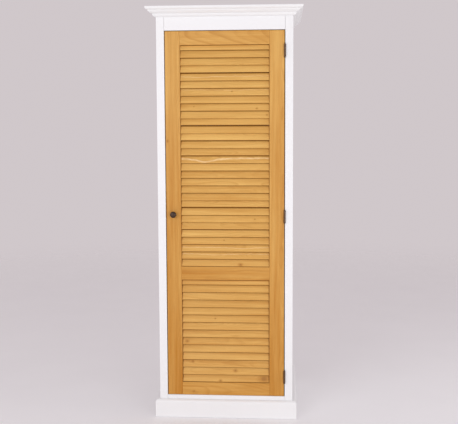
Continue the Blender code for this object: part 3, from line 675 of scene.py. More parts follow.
def add_piece(name, mesh, body, slot, *nodes):
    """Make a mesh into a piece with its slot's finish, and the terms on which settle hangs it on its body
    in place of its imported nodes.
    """
    piece = bpy.data.objects.new(name, mesh)
    bpy.context.scene.collection.objects.link(piece)
    mesh.materials.append(bpy.data.materials[SLOT_FINISHES[slot]])
    flatten = piece.modifiers.new("flat faces stay flat", "WEIGHTED_NORMAL")
    flatten.keep_sharp = True
    return piece, (body, slot, nodes)


def settle(piece, terms):
    """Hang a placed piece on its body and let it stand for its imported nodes."""
    body, slot, nodes = terms
    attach(piece, body)
    if nodes:
        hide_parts(*nodes)
    return piece


def bar_mesh(name, size, radii, ends, bow=None, stations=2, end_steps=3):
    """A board along X: (length, width, thickness), four corner radii and its two end roundings.

    The bow gives (across, depth) for a share of the length from -1 to 1.
    """
    length_, width, thickness = size
    section = rounded_section(width, thickness, radii)
    rings = []
    for side, end in ((-1, ends[0]), (1, ends[1])):
        half = []
        for step in range(end_steps + 1):
            quarter = math.radians(90 * step / end_steps)
            place = length_ / 2 - end * (1 - math.sin(quarter))
            half.append((side * place, end * (1 - math.cos(quarter))))
        rings += reversed(half) if side < 0 else half
    middle = [(length_ / 2 * (2 * i / stations - 1), 0.0) for i in range(1, stations)]
    rings = rings[: end_steps + 1] + middle + rings[end_steps + 1 :]
    work = bmesh.new()
    loops = []
    for place, inset in rings:
        off = bow(2 * place / length_) if bow else (0.0, 0.0)
        across = 1 - 2 * inset / width
        deep = 1 - 2 * inset / thickness
        loops.append([(place, y * across + off[0], z * deep + off[1]) for y, z in section])
    skin(work, loops)
    return mesh_from(name, work)


def box_axes(low, high, along):
    """Rotation and size that lay a board's length on one world axis and its face on another."""
    size = high - low
    others = [axis for axis in range(3) if axis != along]
    thin = min(others, key=lambda axis: size[axis])
    wide = others[0] if others[1] == thin else others[1]
    x_axis = AXES[along]
    z_axis = AXES[thin] * (-1 if thin == 1 else 1)
    y_axis = z_axis.cross(x_axis)
    rotation = Matrix((x_axis, y_axis, z_axis)).transposed().to_4x4()
    return rotation, (size[along], size[wide], size[thin])


def board(
    name, low, high, along, body, slot, radii, ends, nodes=(), knots=(), tones=(0.0, 0.0),
    sawn=None, log=PLAIN_LOG,
):
    """A solid board between two corners of the frame, its fibres along one world axis."""
    low, high = Vector(low), Vector(high)
    rotation, size = box_axes(low, high, along)
    mesh = bar_mesh(name, size, radii, ends)
    dress(mesh, sawn or timber_offset(name)[0], tones, log)
    if slot == "honey_pine":
        mark_features(mesh, knots)
    piece, terms = add_piece(name, mesh, body, slot, *nodes)
    piece.matrix_world = Matrix.Translation((low + high) / 2) @ rotation
    return settle(piece, terms)


def painted(node, along, body="cabinet", arris=None, ends=None, low=None, high=None):
    """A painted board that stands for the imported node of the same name."""
    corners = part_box(node)
    arris = sizes().paint_arris if arris is None else arris
    ends = (arris, arris) if ends is None else ends
    radii = arris if isinstance(arris, tuple) else (arris,) * 4
    ends = ends if isinstance(ends, tuple) else (ends, ends)
    return board(
        node, low or corners[0], high or corners[1], along, body, "white_paint", radii, ends, (node,)
    )


NOWHERE = (9.0, 9.0, 0.001)


def mark_features(mesh, knots=(), streak=None, cover=None):
    """Write up to two knots (along, across, radius) and a pale streak into a pine mesh.

    The cover (half length, across, foot) tells where a board's ends and its neighbour hide it and where
    its lower edge is; the pine finish paints shade at these places.
    """
    half, covered, foot = cover or (9.0, 9.0, -9.0)
    write_attribute(mesh, "foot", "FLOAT", [v.co.y - foot for v in mesh.vertices])
    values = [(v.co.x, v.co.y - covered, half) for v in mesh.vertices]
    write_attribute(mesh, "crevice", "FLOAT_VECTOR", values)
    places = list(knots) + [NOWHERE] * (2 - len(knots))
    marks = {"knot_a": places[0], "knot_b": places[1], "streak": streak or NOWHERE}
    for name, (along, across, reach) in marks.items():
        values = [(v.co.x - along, v.co.y - across, reach) for v in mesh.vertices]
        write_attribute(mesh, name, "FLOAT_VECTOR", values)


def lathe_mesh(name, profile, steps=48):
    """A turned solid about Z; the profile is (radius, height) from one end to the other."""
    work = bmesh.new()
    rings = []
    for radius, height in profile:
        if radius < 1e-7:
            rings.append([(0.0, 0.0, height)])
        else:
            turns = [2 * math.pi * i / steps for i in range(steps)]
            rings.append([(radius * math.cos(a), radius * math.sin(a), height) for a in turns])
    skin(work, rings, closed_ends=False)
    return mesh_from(name, work)


def merge(name, parts):
    """One mesh from several (mesh, matrix) pairs."""
    work = bmesh.new()
    for mesh, matrix in parts:
        moved = mesh.copy()
        moved.transform(matrix)
        work.from_mesh(moved)
        bpy.data.meshes.remove(moved)
    made = bpy.data.meshes.new(name)
    work.to_mesh(made)
    work.free()
    return made


def facing(direction):
    """Rotation that turns local Z to a world direction."""
    return Z_AXIS.rotation_difference(Vector(direction)).to_matrix().to_4x4()


def screw_mesh(radius, dome, sink=0.0006):
    """A screw head with a cross recess: domed or nearly flat, its underside a little sunk."""
    profile = [(0.0, -sink), (radius * 0.96, -sink), (radius, 0.0)]
    steps = 6
    for step in range(1, steps + 1):
        share = step / steps
        quarter = math.radians(90 * share)
        profile.append((radius * math.cos(quarter), dome * math.sin(quarter)))
    profile[-1] = (0.0, dome)
    head = lathe_mesh("screw_head", profile, 32)
    recess = bmesh.new()
    for turn_ in (0, 90):
        made = bmesh.ops.create_cube(recess, size=1.0)
        shape = Matrix.Rotation(math.radians(turn_), 4, "Z") @ Matrix.Diagonal(
            (radius * 1.15, radius * 0.26, dome + sink * 0.8, 1.0)
        )
        place = Matrix.Translation((0, 0, dome * 0.62)) @ shape
        bmesh.ops.transform(recess, matrix=place, verts=made["verts"])
    return carve(head, mesh_from("recess", recess))


def carve(mesh, cutter):
    """The mesh with the cutter's space taken out of it."""
    solid = bpy.data.objects.new("solid", mesh)
    tool = bpy.data.objects.new("tool", cutter)
    for helper in (solid, tool):
        bpy.context.scene.collection.objects.link(helper)
    cut = solid.modifiers.new("cut", "BOOLEAN")
    cut.operation = "DIFFERENCE"
    cut.solver = "EXACT"
    cut.use_self = True
    cut.object = tool
    graph = bpy.context.evaluated_depsgraph_get()
    made = bpy.data.meshes.new_from_object(solid.evaluated_get(graph))
    for helper in (solid, tool):
        bpy.data.objects.remove(helper)
    return made


def screws(name, places, direction, radius, dome, body, slot, nodes=()):
    """A group of equal screws whose heads face one way."""
    head = screw_mesh(radius, dome)
    rotation = facing(direction)
    luck = random.Random(name)
    parts = []
    for place in places:
        spin = Matrix.Rotation(luck.uniform(0, math.pi), 4, "Z")
        parts.append((head, Matrix.Translation(place) @ rotation @ spin))
    mesh = merge(name, parts)
    dress(mesh)
    return settle(*add_piece(name, mesh, body, slot, *nodes))


# ---------------------------------------------------------------- cabinet
class WARDROBE_OT_carcass(bpy.types.Operator):
    """Side panels, lid, bottom, back panel and rear floor rail"""

    bl_idname = "wardrobe.carcass"
    bl_label = "Carcass"

    def execute(self, context):
        for node in ("side_panel_left", "side_panel_right"):
            make_side_panel(node)
        painted("top_panel", 0)
        painted("bottom_panel", 0, arris=sizes().joint_arris)
        painted("back_panel", 2, arris=sizes().joint_arris)
        painted("rear_floor_rail", 0)
        make_back_nails()
        return {"FINISHED"}


def make_side_panel(node):
    """A full-height side with a rebate for the back panel."""
    low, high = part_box(node)
    side = 1 if high.x > 0 else -1
    outer = high.x if side > 0 else low.x
    inner = low.x if side > 0 else high.x
    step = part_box("back_panel")[1 if side > 0 else 0].x + side * sizes().fit_gap
    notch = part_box("back_panel")[0].y - sizes().fit_gap
    arris = sizes().joint_arris
    corners = [
        (inner, low.y, arris),
        (outer, low.y, arris),
        (outer, high.y, sizes().paint_arris),
        (step, high.y, arris),
        (step, notch, arris),
        (inner, notch, arris),
    ]
    section = turned_corners(corners)
    rings = []
    for height, inset in ((low.z, arris), (low.z + arris, 0), (high.z - arris, 0), (high.z, arris)):
        rings.append([(x, y, height) for x, y in shrunk(section, inset)])
    work = bmesh.new()
    skin(work, rings)
    mesh = mesh_from(node, work)
    lay_flat_grain(mesh, node, (2, 1, 0))
    settle(*add_piece(node, mesh, "cabinet", "white_paint", node))


def turned_corners(corners, steps=3):
    """An outline through (x, y, radius) corners, each turned with its own radius."""
    outline = []
    for i, (x, y, radius) in enumerate(corners):
        here = Vector((x, y))
        before = (Vector(corners[i - 1][:2]) - here).normalized()
        after = (Vector(corners[(i + 1) % len(corners)][:2]) - here).normalized()
        if radius <= 0:
            outline.append((x, y))
            continue
        half = before.angle(after) / 2
        reach = radius / math.tan(half)
        centre = here + (before + after).normalized() * (radius / math.sin(half))
        start = here + before * reach - centre
        end = here + after * reach - centre
        sweep = start.angle_signed(end)
        for step in range(steps + 1):
            turned_by = Matrix.Rotation(-sweep * step / steps, 2)
            outline.append(tuple(centre + turned_by @ start))
    return outline


def shrunk(outline, inset):
    """An outline drawn in towards its own middle by about the inset."""
    if not inset:
        return outline
    xs = [x for x, _ in outline]
    ys = [y for _, y in outline]
    middle = ((min(xs) + max(xs)) / 2, (min(ys) + max(ys)) / 2)
    across = 1 - 2 * inset / (max(xs) - min(xs))
    deep = 1 - 2 * inset / (max(ys) - min(ys))
    return [(middle[0] + (x - middle[0]) * across, middle[1] + (y - middle[1]) * deep) for x, y in outline]


def lay_flat_grain(mesh, name, order):
    """Grain coordinates for a mesh made in place: order names its world axes for
    along, across and depth."""
    offset = timber_offset(name)[0]
    middle = sum((vertex.co for vertex in mesh.vertices), Vector()) / len(mesh.vertices)
    dress(mesh)
    values = []
    for vertex in mesh.vertices:
        place = vertex.co - middle
        values.append(Vector([place[axis] for axis in order]) + Vector(offset))
    mesh.attributes["grain"].data.foreach_set("vector", [n for v in values for n in v])


def make_back_nails():
    """Nail heads round the edge of the back panel and along the shelf."""
    low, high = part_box("back_panel")
    inset = 0.006
    radius = sizes().nail_head / 2
    places = []
    columns = max(2, round((high.x - low.x) / sizes().nail_spacing))
    rows = max(2, round((high.z - low.z) / sizes().nail_spacing))
    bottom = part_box("bottom_panel")
    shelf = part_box("hat_shelf")
    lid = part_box("top_panel")[0].z
    levels = ((bottom[0].z + bottom[1].z) / 2, (shelf[0].z + shelf[1].z) / 2, lid - inset)
    for i in range(columns + 1):
        x = low.x + inset + (high.x - low.x - 2 * inset) * i / columns
        places += [(x, high.y, level) for level in levels]
    for i in range(1, rows):
        z = low.z + (high.z - low.z) * i / rows
        if min(abs(z - level) for level in levels) > 0.03:
            places += [(x, high.y, z) for x in (low.x + inset, high.x - inset)]
    dome = lathe_mesh("nail", [(0, -0.0004), (radius, -0.0004), (radius * 0.97, 0.0002),
                               (radius * 0.6, 0.0005), (0, 0.0006)], 20)
    mesh = merge("back_nails", [(dome, Matrix.Translation(p) @ facing((0, 1, 0))) for p in places])
    dress(mesh)
    settle(*add_piece("back_nails", mesh, "cabinet", "polished_steel"))


class WARDROBE_OT_face_frame(bpy.types.Operator):
    """Face frame stiles, frieze rail and sill rail"""

    bl_idname = "wardrobe.face_frame"
    bl_label = "Face frame"

    def execute(self, context):
        outer = sizes().paint_arris
        joint = sizes().frame_joint
        # Corner order: (+, +), (-, +), (-, -), (+, -) in (across, depth); depth faces front.
        painted("face_stile_left", 2, arris=(joint, outer, joint, joint), ends=joint)
        painted("face_stile_right", 2, arris=(outer, joint, joint, joint), ends=joint)
        low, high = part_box("frieze_rail")
        low.x += sizes().fit_gap
        high.x -= sizes().fit_gap
        painted("frieze_rail", 0, arris=joint, ends=joint, low=low, high=high)
        painted("sill_rail", 0, arris=sizes().joint_arris, ends=sizes().joint_arris)
        return {"FINISHED"}


# ---------------------------------------------------------------- mouldings
def bend(start, pull, end, steps=6):
    """Points on a smooth bend from start to end, drawn towards pull; the start is left out."""
    points = []
    for step in range(1, steps + 1):
        share = step / steps
        weights = ((1 - share) ** 2, 2 * share * (1 - share), share ** 2)
        parts = zip(weights, (start, pull, end))
        weighted = [(weight * x, weight * y) for weight, (x, y) in parts]
        points.append((sum(x for x, _ in weighted), sum(y for _, y in weighted)))
    return points


def cornice_section():
    """Outline (projection, height): three bands, each turning under to the one below it."""
    low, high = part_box("cornice_front")
    lip = FRONT - low.y
    band = lip - 0.011
    bottom, top = low.z, high.z
    edge = 0.0009
    section = [(0.0003, bottom), (0.0012, bottom + 0.0006)]
    section += bend(section[-1], (0.0120, bottom + 0.0022), (0.0143, bottom + 0.0112))
    section += arc((0.0136, bottom + 0.0140), 0.0008, 0, 80, 3)
    section += bend(section[-1], (0.0205, bottom + 0.0156), (0.0262, bottom + 0.0206))
    section += bend(section[-1], (0.0330, bottom + 0.0245), (band, bottom + 0.0282))
    section += arc((band - edge, bottom + 0.0296), edge, 0, 80, 3)
    section += bend(section[-1], (0.0425, bottom + 0.0322), (lip - 0.0001, bottom + 0.0385), 8)
    section += arc((lip - edge, top - edge), edge, 0, 90, 4)
    return section + [(0.0003, top)]


def plinth_section():
    """Outline (projection, height) of the plinth board, its upper outer edge rounded."""
    low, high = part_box("plinth_front")
    proud = FRONT - low.y
    edge = 0.0012
    nose = 0.0140
    section = [(0.0003, low.z)]
    section += arc((proud - edge, low.z + edge), edge, -90, 0, 3)
    section += arc((proud - nose, high.z - nose), nose, 0, 90, 7)
    return section + [(0.0003, high.z)]


def moulding(node, section, origin, outward, run, reach, mitres):
    """A moulding swept along run; a mitred end follows the projection at 45 degrees."""
    gap = sizes().fit_gap / 2
    rings = []
    for share, mitre in ((0.0, mitres[0]), (1.0, mitres[1])):
        direction = 1 if share else -1
        ring = []
        for projection, height in section:
            place = reach * share + direction * mitre * (projection - gap)
            ring.append(origin + outward * projection + run * place + Z_AXIS * height)
        rings.append(ring)
    work = bmesh.new()
    skin(work, rings)
    mesh = mesh_from(node, work)
    along = 0 if abs(run.x) > 0.5 else 1
    lay_flat_grain(mesh, node, (along, 2, 1 - along))
    settle(*add_piece(node, mesh, "cabinet", "white_paint", node))


def round_the_cabinet(kind, section):
    """The front length and the two mitred returns of a moulding."""
    width = 2 * HALF_WIDTH
    depth = BACK - FRONT
    corner = Vector((-HALF_WIDTH, FRONT, 0))
    moulding(kind + "_front", section, corner, -Y_AXIS, X_AXIS, width, (1, 1))
    moulding(kind + "_left", section, corner, -X_AXIS, Y_AXIS, depth, (1, 0))
    corner = Vector((HALF_WIDTH, FRONT, 0))
    moulding(kind + "_right", section, corner, X_AXIS, Y_AXIS, depth, (1, 0))


class WARDROBE_OT_cornice(bpy.types.Operator):
    """Stepped cornice with two mitred returns"""

    bl_idname = "wardrobe.cornice"
    bl_label = "Cornice"

    def execute(self, context):
        round_the_cabinet("cornice", cornice_section())
        return {"FINISHED"}


class WARDROBE_OT_plinth(bpy.types.Operator):
    """Plinth with two mitred returns"""

    bl_idname = "wardrobe.plinth"
    bl_label = "Plinth"

    def execute(self, context):
        round_the_cabinet("plinth", plinth_section())
        return {"FINISHED"}


# ---------------------------------------------------------------- inside
class WARDROBE_OT_inside(bpy.types.Operator):
    """Hat shelf, cleats, hanging rod and its sockets"""

    bl_idname = "wardrobe.inside"
    bl_label = "Shelf and rod"

    def execute(self, context):
        painted("hat_shelf", 0)
        for side in ("left", "right"):
            painted("shelf_cleat_" + side, 1)
            make_cleat_screws("shelf_cleat_" + side)
            make_rod_socket("rod_socket_" + side)
        make_rod()
        return {"FINISHED"}


def make_cleat_screws(node):
    """Two screws through a cleat into the side panel."""
    low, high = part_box(node)
    side = 1 if high.x > 0 else -1
    face = low.x if side > 0 else high.x
    height = (low.z + high.z) / 2
    inset = 0.06
    places = [(face, y, height) for y in (low.y + inset, (low.y + high.y) / 2, high.y - inset)]
    screws(node + "_screws", places, (-side, 0, 0), 0.0042, 0.0012, "cabinet", "polished_steel")


def make_rod():
    """A plated tube with slightly rounded open ends."""
    low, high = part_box("hanging_rod")
    radius = (high.z - low.z) / 2
    wall = 0.0015
    half = (high.x - low.x) / 2
    lip = 0.0003
    profile = [
        (radius - wall, -half + lip),
        (radius - wall + lip, -half),
        (radius - lip, -half),
        (radius, -half + lip),
        (radius, half - lip),
        (radius - lip, half),
        (radius - wall + lip, half),
        (radius - wall, half - lip),
        (radius - wall, -half + lip),
    ]
    mesh = lathe_mesh("hanging_rod", profile, 72)
    weld(mesh)
    dress(mesh)
    swap_grain(mesh, (2, 0, 1))
    piece, terms = add_piece("hanging_rod", mesh, "cabinet", "polished_steel", "hanging_rod")
    piece.matrix_world = Matrix.Translation((low + high) / 2) @ facing((1, 0, 0))
    settle(piece, terms)


def weld(mesh):
    """Join points that lie on each other."""
    work = bmesh.new()
    work.from_mesh(mesh)
    bmesh.ops.remove_doubles(work, verts=work.verts, dist=0.000005)
    bmesh.ops.recalc_face_normals(work, faces=work.faces)
    work.to_mesh(mesh)
    work.free()


def swap_grain(mesh, order):
    """Let the marks of a turned piece run along another of its axes."""
    values = [number for v in mesh.vertices for number in (v.co[order[0]], v.co[order[1]], v.co[order[2]])]
    mesh.attributes["grain"].data.foreach_set("vector", values)


def make_rod_socket(node):
    """A pressed flange with a raised cup, held by three screws."""
    low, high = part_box(node)
    side = 1 if high.x > 0 else -1
    depth = high.x - low.x
    flange = (high.z - low.z) / 2
    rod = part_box("hanging_rod")
    tube = (rod[1].z - rod[0].z) / 2
    cup_inner = tube + sizes().fit_gap
    cup_outer = cup_inner + 0.0025
    plate = 0.003
    fillet = 0.0015
    rim = 0.0006
    profile = [(0.0, 0.0)]
    profile += arc((flange - rim, rim), rim, -90, 0, 3)
    profile += arc((flange - 0.0012, plate - 0.0012), 0.0012, 0, 90, 4)
    profile += arc((cup_outer + fillet, plate + fillet), fillet, 270, 180, 5)
    profile += arc((cup_outer - rim, depth - rim), rim, 0, 90, 3)
    profile += [(cup_inner + rim, depth), (cup_inner, depth - rim), (cup_inner, plate), (0.0, plate)]
    mesh = lathe_mesh(node, profile, 72)
    dress(mesh)
    piece, terms = add_piece(node, mesh, "cabinet", "polished_steel", node)
    wall = high.x if side > 0 else low.x
    centre = Vector((wall, (low.y + high.y) / 2, (low.z + high.z) / 2))
    piece.matrix_world = Matrix.Translation(centre) @ facing((-side, 0, 0))
    settle(piece, terms)
    ring = (cup_outer + flange) / 2 + 0.0004
    face = wall - side * plate
    places = []
    for degrees in (90, 210, 330):
        angle = math.radians(degrees)
        places.append((face, centre.y + ring * math.cos(angle), centre.z + ring * math.sin(angle)))
    screws(node + "_screws", places, (-side, 0, 0), 0.0022, 0.0008, "cabinet", "polished_steel")


class WARDROBE_OT_catch(bpy.types.Operator):
    """Magnetic catch and its strike plate"""

    bl_idname = "wardrobe.catch"
    bl_label = "Catch"

    def execute(self, context):
        low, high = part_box("magnetic_catch")
        board(
            "magnetic_catch", low, high, 0, "cabinet", "catch_plastic",
            (0.0015,) * 4, (0.0008, 0.0015), ("magnetic_catch",),
        )
        middle = (low + high) / 2
        inset = 0.007
        places = [(x, middle.y, high.z) for x in (low.x + inset, high.x - inset)]
        screws("catch_screws", places, (0, 0, 1), 0.003, 0.001, "cabinet", "polished_steel")
        self.make_poles(low, high)
        self.make_strike()
        return {"FINISHED"}

    def make_poles(self, low, high):
        """The two steel pole plates that show at the front of the magnet."""
        gap = sizes().fit_gap
        reach = (high.x - low.x) * 0.28
        centre = (low.x + high.x) / 2
        parts = []
        for level in (-0.0032, 0.0032):
            plate = bar_mesh("pole", (2 * reach, 0.0016, 0.004), (0.0003,) * 4, (0.0003, 0.0003))
            place = Vector((centre, low.y + 0.002 - gap * 0.7, (low.z + high.z) / 2 + level))
            turned_plate = Matrix.Rotation(math.radians(90), 4, "X")
            parts.append((plate, Matrix.Translation(place) @ turned_plate))
        mesh = merge("catch_poles", parts)
        dress(mesh)
        settle(*add_piece("catch_poles", mesh, "cabinet", "polished_steel"))

    def make_strike(self):
        """A thin plate on the back of the door with two screws."""
        low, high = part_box("catch_strike")
        board(
            "catch_strike", low, high, 2, "door", "polished_steel",
            (0.0005, 0.0005, 0.0001, 0.0001), (0.0005, 0.0005), ("catch_strike",),
        )
        middle = (low + high) / 2
        places = [(middle.x, high.y, z) for z in (low.z + 0.006, high.z - 0.006)]
        screws("strike_screws", places, (0, 1, 0), 0.0024, 0.0002, "door", "polished_steel")


# ---------------------------------------------------------------- door
# Knots as (along the board, across it, radius), from the board's middle.
DOOR_KNOTS = {
    "door_stile_left": ((0.3563, 0.0258, 0.0034),),
    "door_bottom_rail": ((-0.155, -0.014, 0.0030),),
}
# Tones of the door's frame at the two ends of each board: the wood's own tone, with painted light that
# makes the stiles lighter towards their tops.
DOOR_TONES = {
    "door_stile_left": (-0.76, -0.05),
    "door_stile_right": (-0.57, -0.08),
    "door_bottom_rail": (-0.35, -0.42),
    "door_mid_rail": (-0.63, -0.53),
    "door_top_rail": (-0.10, -0.06),
}
# Where each board was sawn in its log (along, across, depth), or None to leave that to its name,
# and its log's taper, ring width and contrast.
DOOR_LOGS = {
    "door_stile_left": (None, (0.004, 0.0030, 0.30)),
    "door_stile_right": (None, (-0.004, 0.0032, 0.30)),
    "door_bottom_rail": ((0.3, 0.020, 0.045), (0.05, 0.0065, 0.35)),
    "door_mid_rail": ((2.1, 0.010, 0.060), (0.02, 0.0060, 0.40)),
    "door_top_rail": ((1.4, -0.034, 0.050), (-0.20, 0.0120, 0.45)),
}


class WARDROBE_OT_door_frame(bpy.types.Operator):
    """Stiles and rails of the door"""

    bl_idname = "wardrobe.door_frame"
    bl_label = "Door frame"

    def execute(self, context):
        outer = sizes().pine_arris
        joint = sizes().joint_arris
        # The stiles are planed on their outer sides, and the frame reaches a little lower.
        planed = 0.0005
        drop = Z_AXIS * 0.0015
        corners = {
            "door_stile_left": (joint, outer, outer, joint),
            "door_stile_right": (outer, joint, joint, outer),
        }
        for node, radii in corners.items():
            low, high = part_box(node)
            low -= drop
            if low.x < 0:
                low.x += planed
            else:
                high.x -= planed
            self.make_part(node, 2, low, high, radii, outer)
        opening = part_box("door_stile_left")[1].x
        for node in ("door_bottom_rail", "door_mid_rail", "door_top_rail"):
            low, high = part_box(node)
            low.x = opening + sizes().fit_gap / 3
            high.x = -low.x
            if node == "door_bottom_rail":
                low -= drop
            self.make_part(node, 0, low, high, (joint,) * 4, joint / 3)
        return {"FINISHED"}

    @staticmethod
    def make_part(node, along, low, high, radii, end):
        """One board of the door's frame."""
        sawn, log = DOOR_LOGS[node]
        board(
            node, low, high, along, "door", "honey_pine", radii, (end, end), (node,),
            DOOR_KNOTS.get(node, ()), DOOR_TONES[node], sawn, log,
        )


# Slats with features: (opening, number from the bottom) to knots and streaks in the same form.
SLAT_KNOTS = {
    ("upper", 0): ((0.072, -0.012, 0.0050),),
    ("upper", 3): ((-0.006, 0.000, 0.0016),),
    ("upper", 6): ((0.140, -0.004, 0.0018),),
    ("upper", 20): ((0.197, -0.004, 0.0022),),
    ("upper", 21): ((0.150, -0.010, 0.0024), (-0.145, 0.000, 0.0014)),
    ("upper", 23): ((0.034, 0.000, 0.0020),),
    ("lower", 0): ((0.183, -0.003, 0.0110), (-0.026, -0.014, 0.0034)),
    ("lower", 1): ((0.046, 0.000, 0.0040),),
    ("lower", 2): ((-0.160, 0.006, 0.0028),),
    ("lower", 5): ((-0.186, -0.004, 0.0036),),
    ("lower", 8): ((-0.050, -0.002, 0.0020),),
}
SLAT_STREAKS = {
    ("upper", 14): (-0.094, 0.0045, 0.0042),
    ("upper", 2): (0.080, 0.0010, 0.0013),
    ("upper", 1): (-0.050, 0.0050, 0.0012),
    ("upper", 25): (-0.120, 0.0010, 0.0013),
    ("upper", 23): (0.030, 0.0090, 0.0009),
}

# Tones of the lowest and the highest slat; the others lie between them by height. This is painted light:
# the slats are lighter than the door's frame, as their faces tilt up to the light, and lighter the higher
# they sit.
SLAT_TONES = (0.05, 0.48)
# How far chance takes a slat from its even height, and from its even tone.
SLAT_LIFT_LUCK = 0.0005
SLAT_TONE_LUCK = 0.08
# Painted shade under the slat above reaches a little further down the slats under this height, and less
# far above it.
EVEN_SHADE_HEIGHT = 1.25
SHADE_SLOPE = 0.0016
# The painted shade at the ends of the lower opening's slats reaches further in.
LOWER_END_SHADE = 0.0012
# Slats that took more stain than their neighbours.
DARKER_SLATS = (("upper", 12), ("upper", 19), ("lower", 5), ("lower", 13))
DARKER = 0.30
# Slats that plainly sit high in their housings, and by how much.
HIGH_SLATS = {
    ("upper", 5): 0.003,
    ("upper", 8): 0.004,
    ("upper", 15): 0.002,
    ("upper", 17): 0.003,
    ("upper", 19): 0.004,
    ("upper", 26): 0.003,
}


class WARDROBE_OT_slats(bpy.types.Operator):
    """Louvre slats, one piece each"""

    bl_idname = "wardrobe.slats"
    bl_label = "Louvre slats"

    def execute(self, context):
        rails = ("door_bottom_rail", "door_mid_rail", "door_top_rail")
        bottom, middle, top = (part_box(rail) for rail in rails)
        self.fill_opening("upper", middle[1].z, top[0].z)
        self.fill_opening("lower", bottom[1].z, middle[0].z)
        return {"FINISHED"}

    def fill_opening(self, opening, low, high):
        """Slats from the lower rail to the upper one, the last cut down to fit."""
        size = sizes()
        banks = sorted(node for node in frame["nodes"] if node.startswith(opening + "_louvre"))
        if not banks:
            raise RuntimeError(f"the frame has no {opening} louvre banks")
        first = low + size.slat_thickness * math.sin(size.slat_tilt) + size.fit_gap
        last = high - size.top_slat_shown
        count = round((last - first) / size.slat_spacing) + 1
        for number in range(count):
            level = first + (last - first) * number / (count - 1)
            room = (high - size.fit_gap - level) / math.cos(size.slat_tilt)
            bank = banks[self.bank_of(number, count, len(banks))]
            pitch = (last - first) / (count - 1)
            covered = min(pitch, high - level) / math.cos(size.slat_tilt)
            width = min(size.slat_width, room)
            self.make_slat(opening, number, level, width, covered, bank)

    @staticmethod
    def bank_of(number, count, banks):
        """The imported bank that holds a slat."""
        starts = [round(bank * count / banks) for bank in range(banks)]
        return sum(number >= start for start in starts) - 1

    def make_slat(self, opening, number, level, width, covered, bank):
        size = sizes()
        name = f"slat_{opening}_{number + 1:02d}"
        luck = random.Random(name)
        wander = size.slat_wander
        crown, sag, twist = (luck.uniform(-wander, wander) for _ in range(3))

        def bow(share):
            bend = 1 - share * share
            return sag * bend, crown * bend + twist * 0.5 * share * bend

        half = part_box("door_stile_right")[0].x
        short = 0.0006
        mesh = bar_mesh(
            name,
            (2 * (half - short), width, size.slat_thickness),
            (size.slat_round,) * 4,
            (0.0003, 0.0003),
            bow,
            stations=10,
            end_steps=1,
        )
        offset, tone = timber_offset(name)
        log = (luck.uniform(-0.012, 0.012), luck.uniform(0.002, 0.0045), luck.uniform(0.1, 0.35))
        place = (opening, number)
        level += HIGH_SLATS.get(place, 0.0) + luck.uniform(-SLAT_LIFT_LUCK, SLAT_LIFT_LUCK)
        # Painted light: the higher a slat sits, the lighter its tone.
        door_low, door_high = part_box("door_stile_left")
        share = (level - door_low.z) / (door_high.z - door_low.z)
        lowest, highest = SLAT_TONES
        tone = lowest + (highest - lowest) * share + SLAT_TONE_LUCK * tone
        if place in DARKER_SLATS:
            tone -= DARKER
        dress(mesh, offset, (tone, tone), log)
        # Painted shade: the line under the slat above, the ends beside the stiles and the lower edge.
        covered -= (EVEN_SHADE_HEIGHT - level) * SHADE_SLOPE
        shaded = half - (LOWER_END_SHADE if opening == "lower" else 0.0)
        cover = (shaded, covered - width / 2, -width / 2)
        mark_features(mesh, SLAT_KNOTS.get(place, ()), SLAT_STREAKS.get(place), cover)
        piece, terms = add_piece(name, mesh, "door", "honey_pine", bank)
        # Local Y runs up the slat and local Z faces forward; the foot is the lower front corner.
        lean = Matrix.Rotation(math.radians(90) - size.slat_tilt, 4, "X")
        foot = lean @ Vector((0, -width / 2, size.slat_thickness / 2))
        place = Vector((0, FRONT + size.slat_setback, level)) - foot
        piece.matrix_world = Matrix.Translation(place) @ lean
        settle(piece, terms)


# ---------------------------------------------------------------- knob
class WARDROBE_OT_knob(bpy.types.Operator):
    """Turned knob and the screw behind it"""

    bl_idname = "wardrobe.knob"
    bl_label = "Knob"

    def execute(self, context):
        low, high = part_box("door_knob")
        rim = (high.z - low.z) / 2
        reach = high.y - low.y
        profile = [(0.0, 0.0)]
        profile += arc((rim * 0.60 - 0.0006, 0.0006), 0.0006, -90, 90, 6)
        profile += [(rim * 0.54, 0.0014), (rim * 0.535, 0.0018)]
        profile += arc((rim * 0.53, 0.0026), 0.0008, -70, 90, 5)
        profile += arc((rim * 0.37 + 0.0052, 0.0090), 0.0052, 242, 180, 6)
        profile += arc((rim * 0.37 + 0.0060, reach - 0.0165), 0.0060, 180, 118, 6)
        for step in range(1, 17):
            angle = math.radians(-58 + (148 * step / 16))
            profile.append((rim * math.cos(angle) ** 0.72, reach - 0.0062 + 0.0062 * math.sin(angle)))
        profile[-1] = (0.0, reach)
        mesh = lathe_mesh("door_knob", profile, 72)
        dress(mesh)
        piece, terms = add_piece("door_knob", mesh, "door", "dark_bronze", "door_knob")
        foot = Vector(((low.x + high.x) / 2, high.y, (low.z + high.z) / 2))
        piece.matrix_world = Matrix.Translation(foot) @ facing((0, -1, 0))
        settle(piece, terms)
        head = Vector((foot.x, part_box("door_stile_left")[1].y, foot.z))
        screws(
            "knob_screw", [head], (0, 1, 0), 0.0045, 0.0024, "door", "polished_steel", ("knob_screw",)
        )
        return {"FINISHED"}


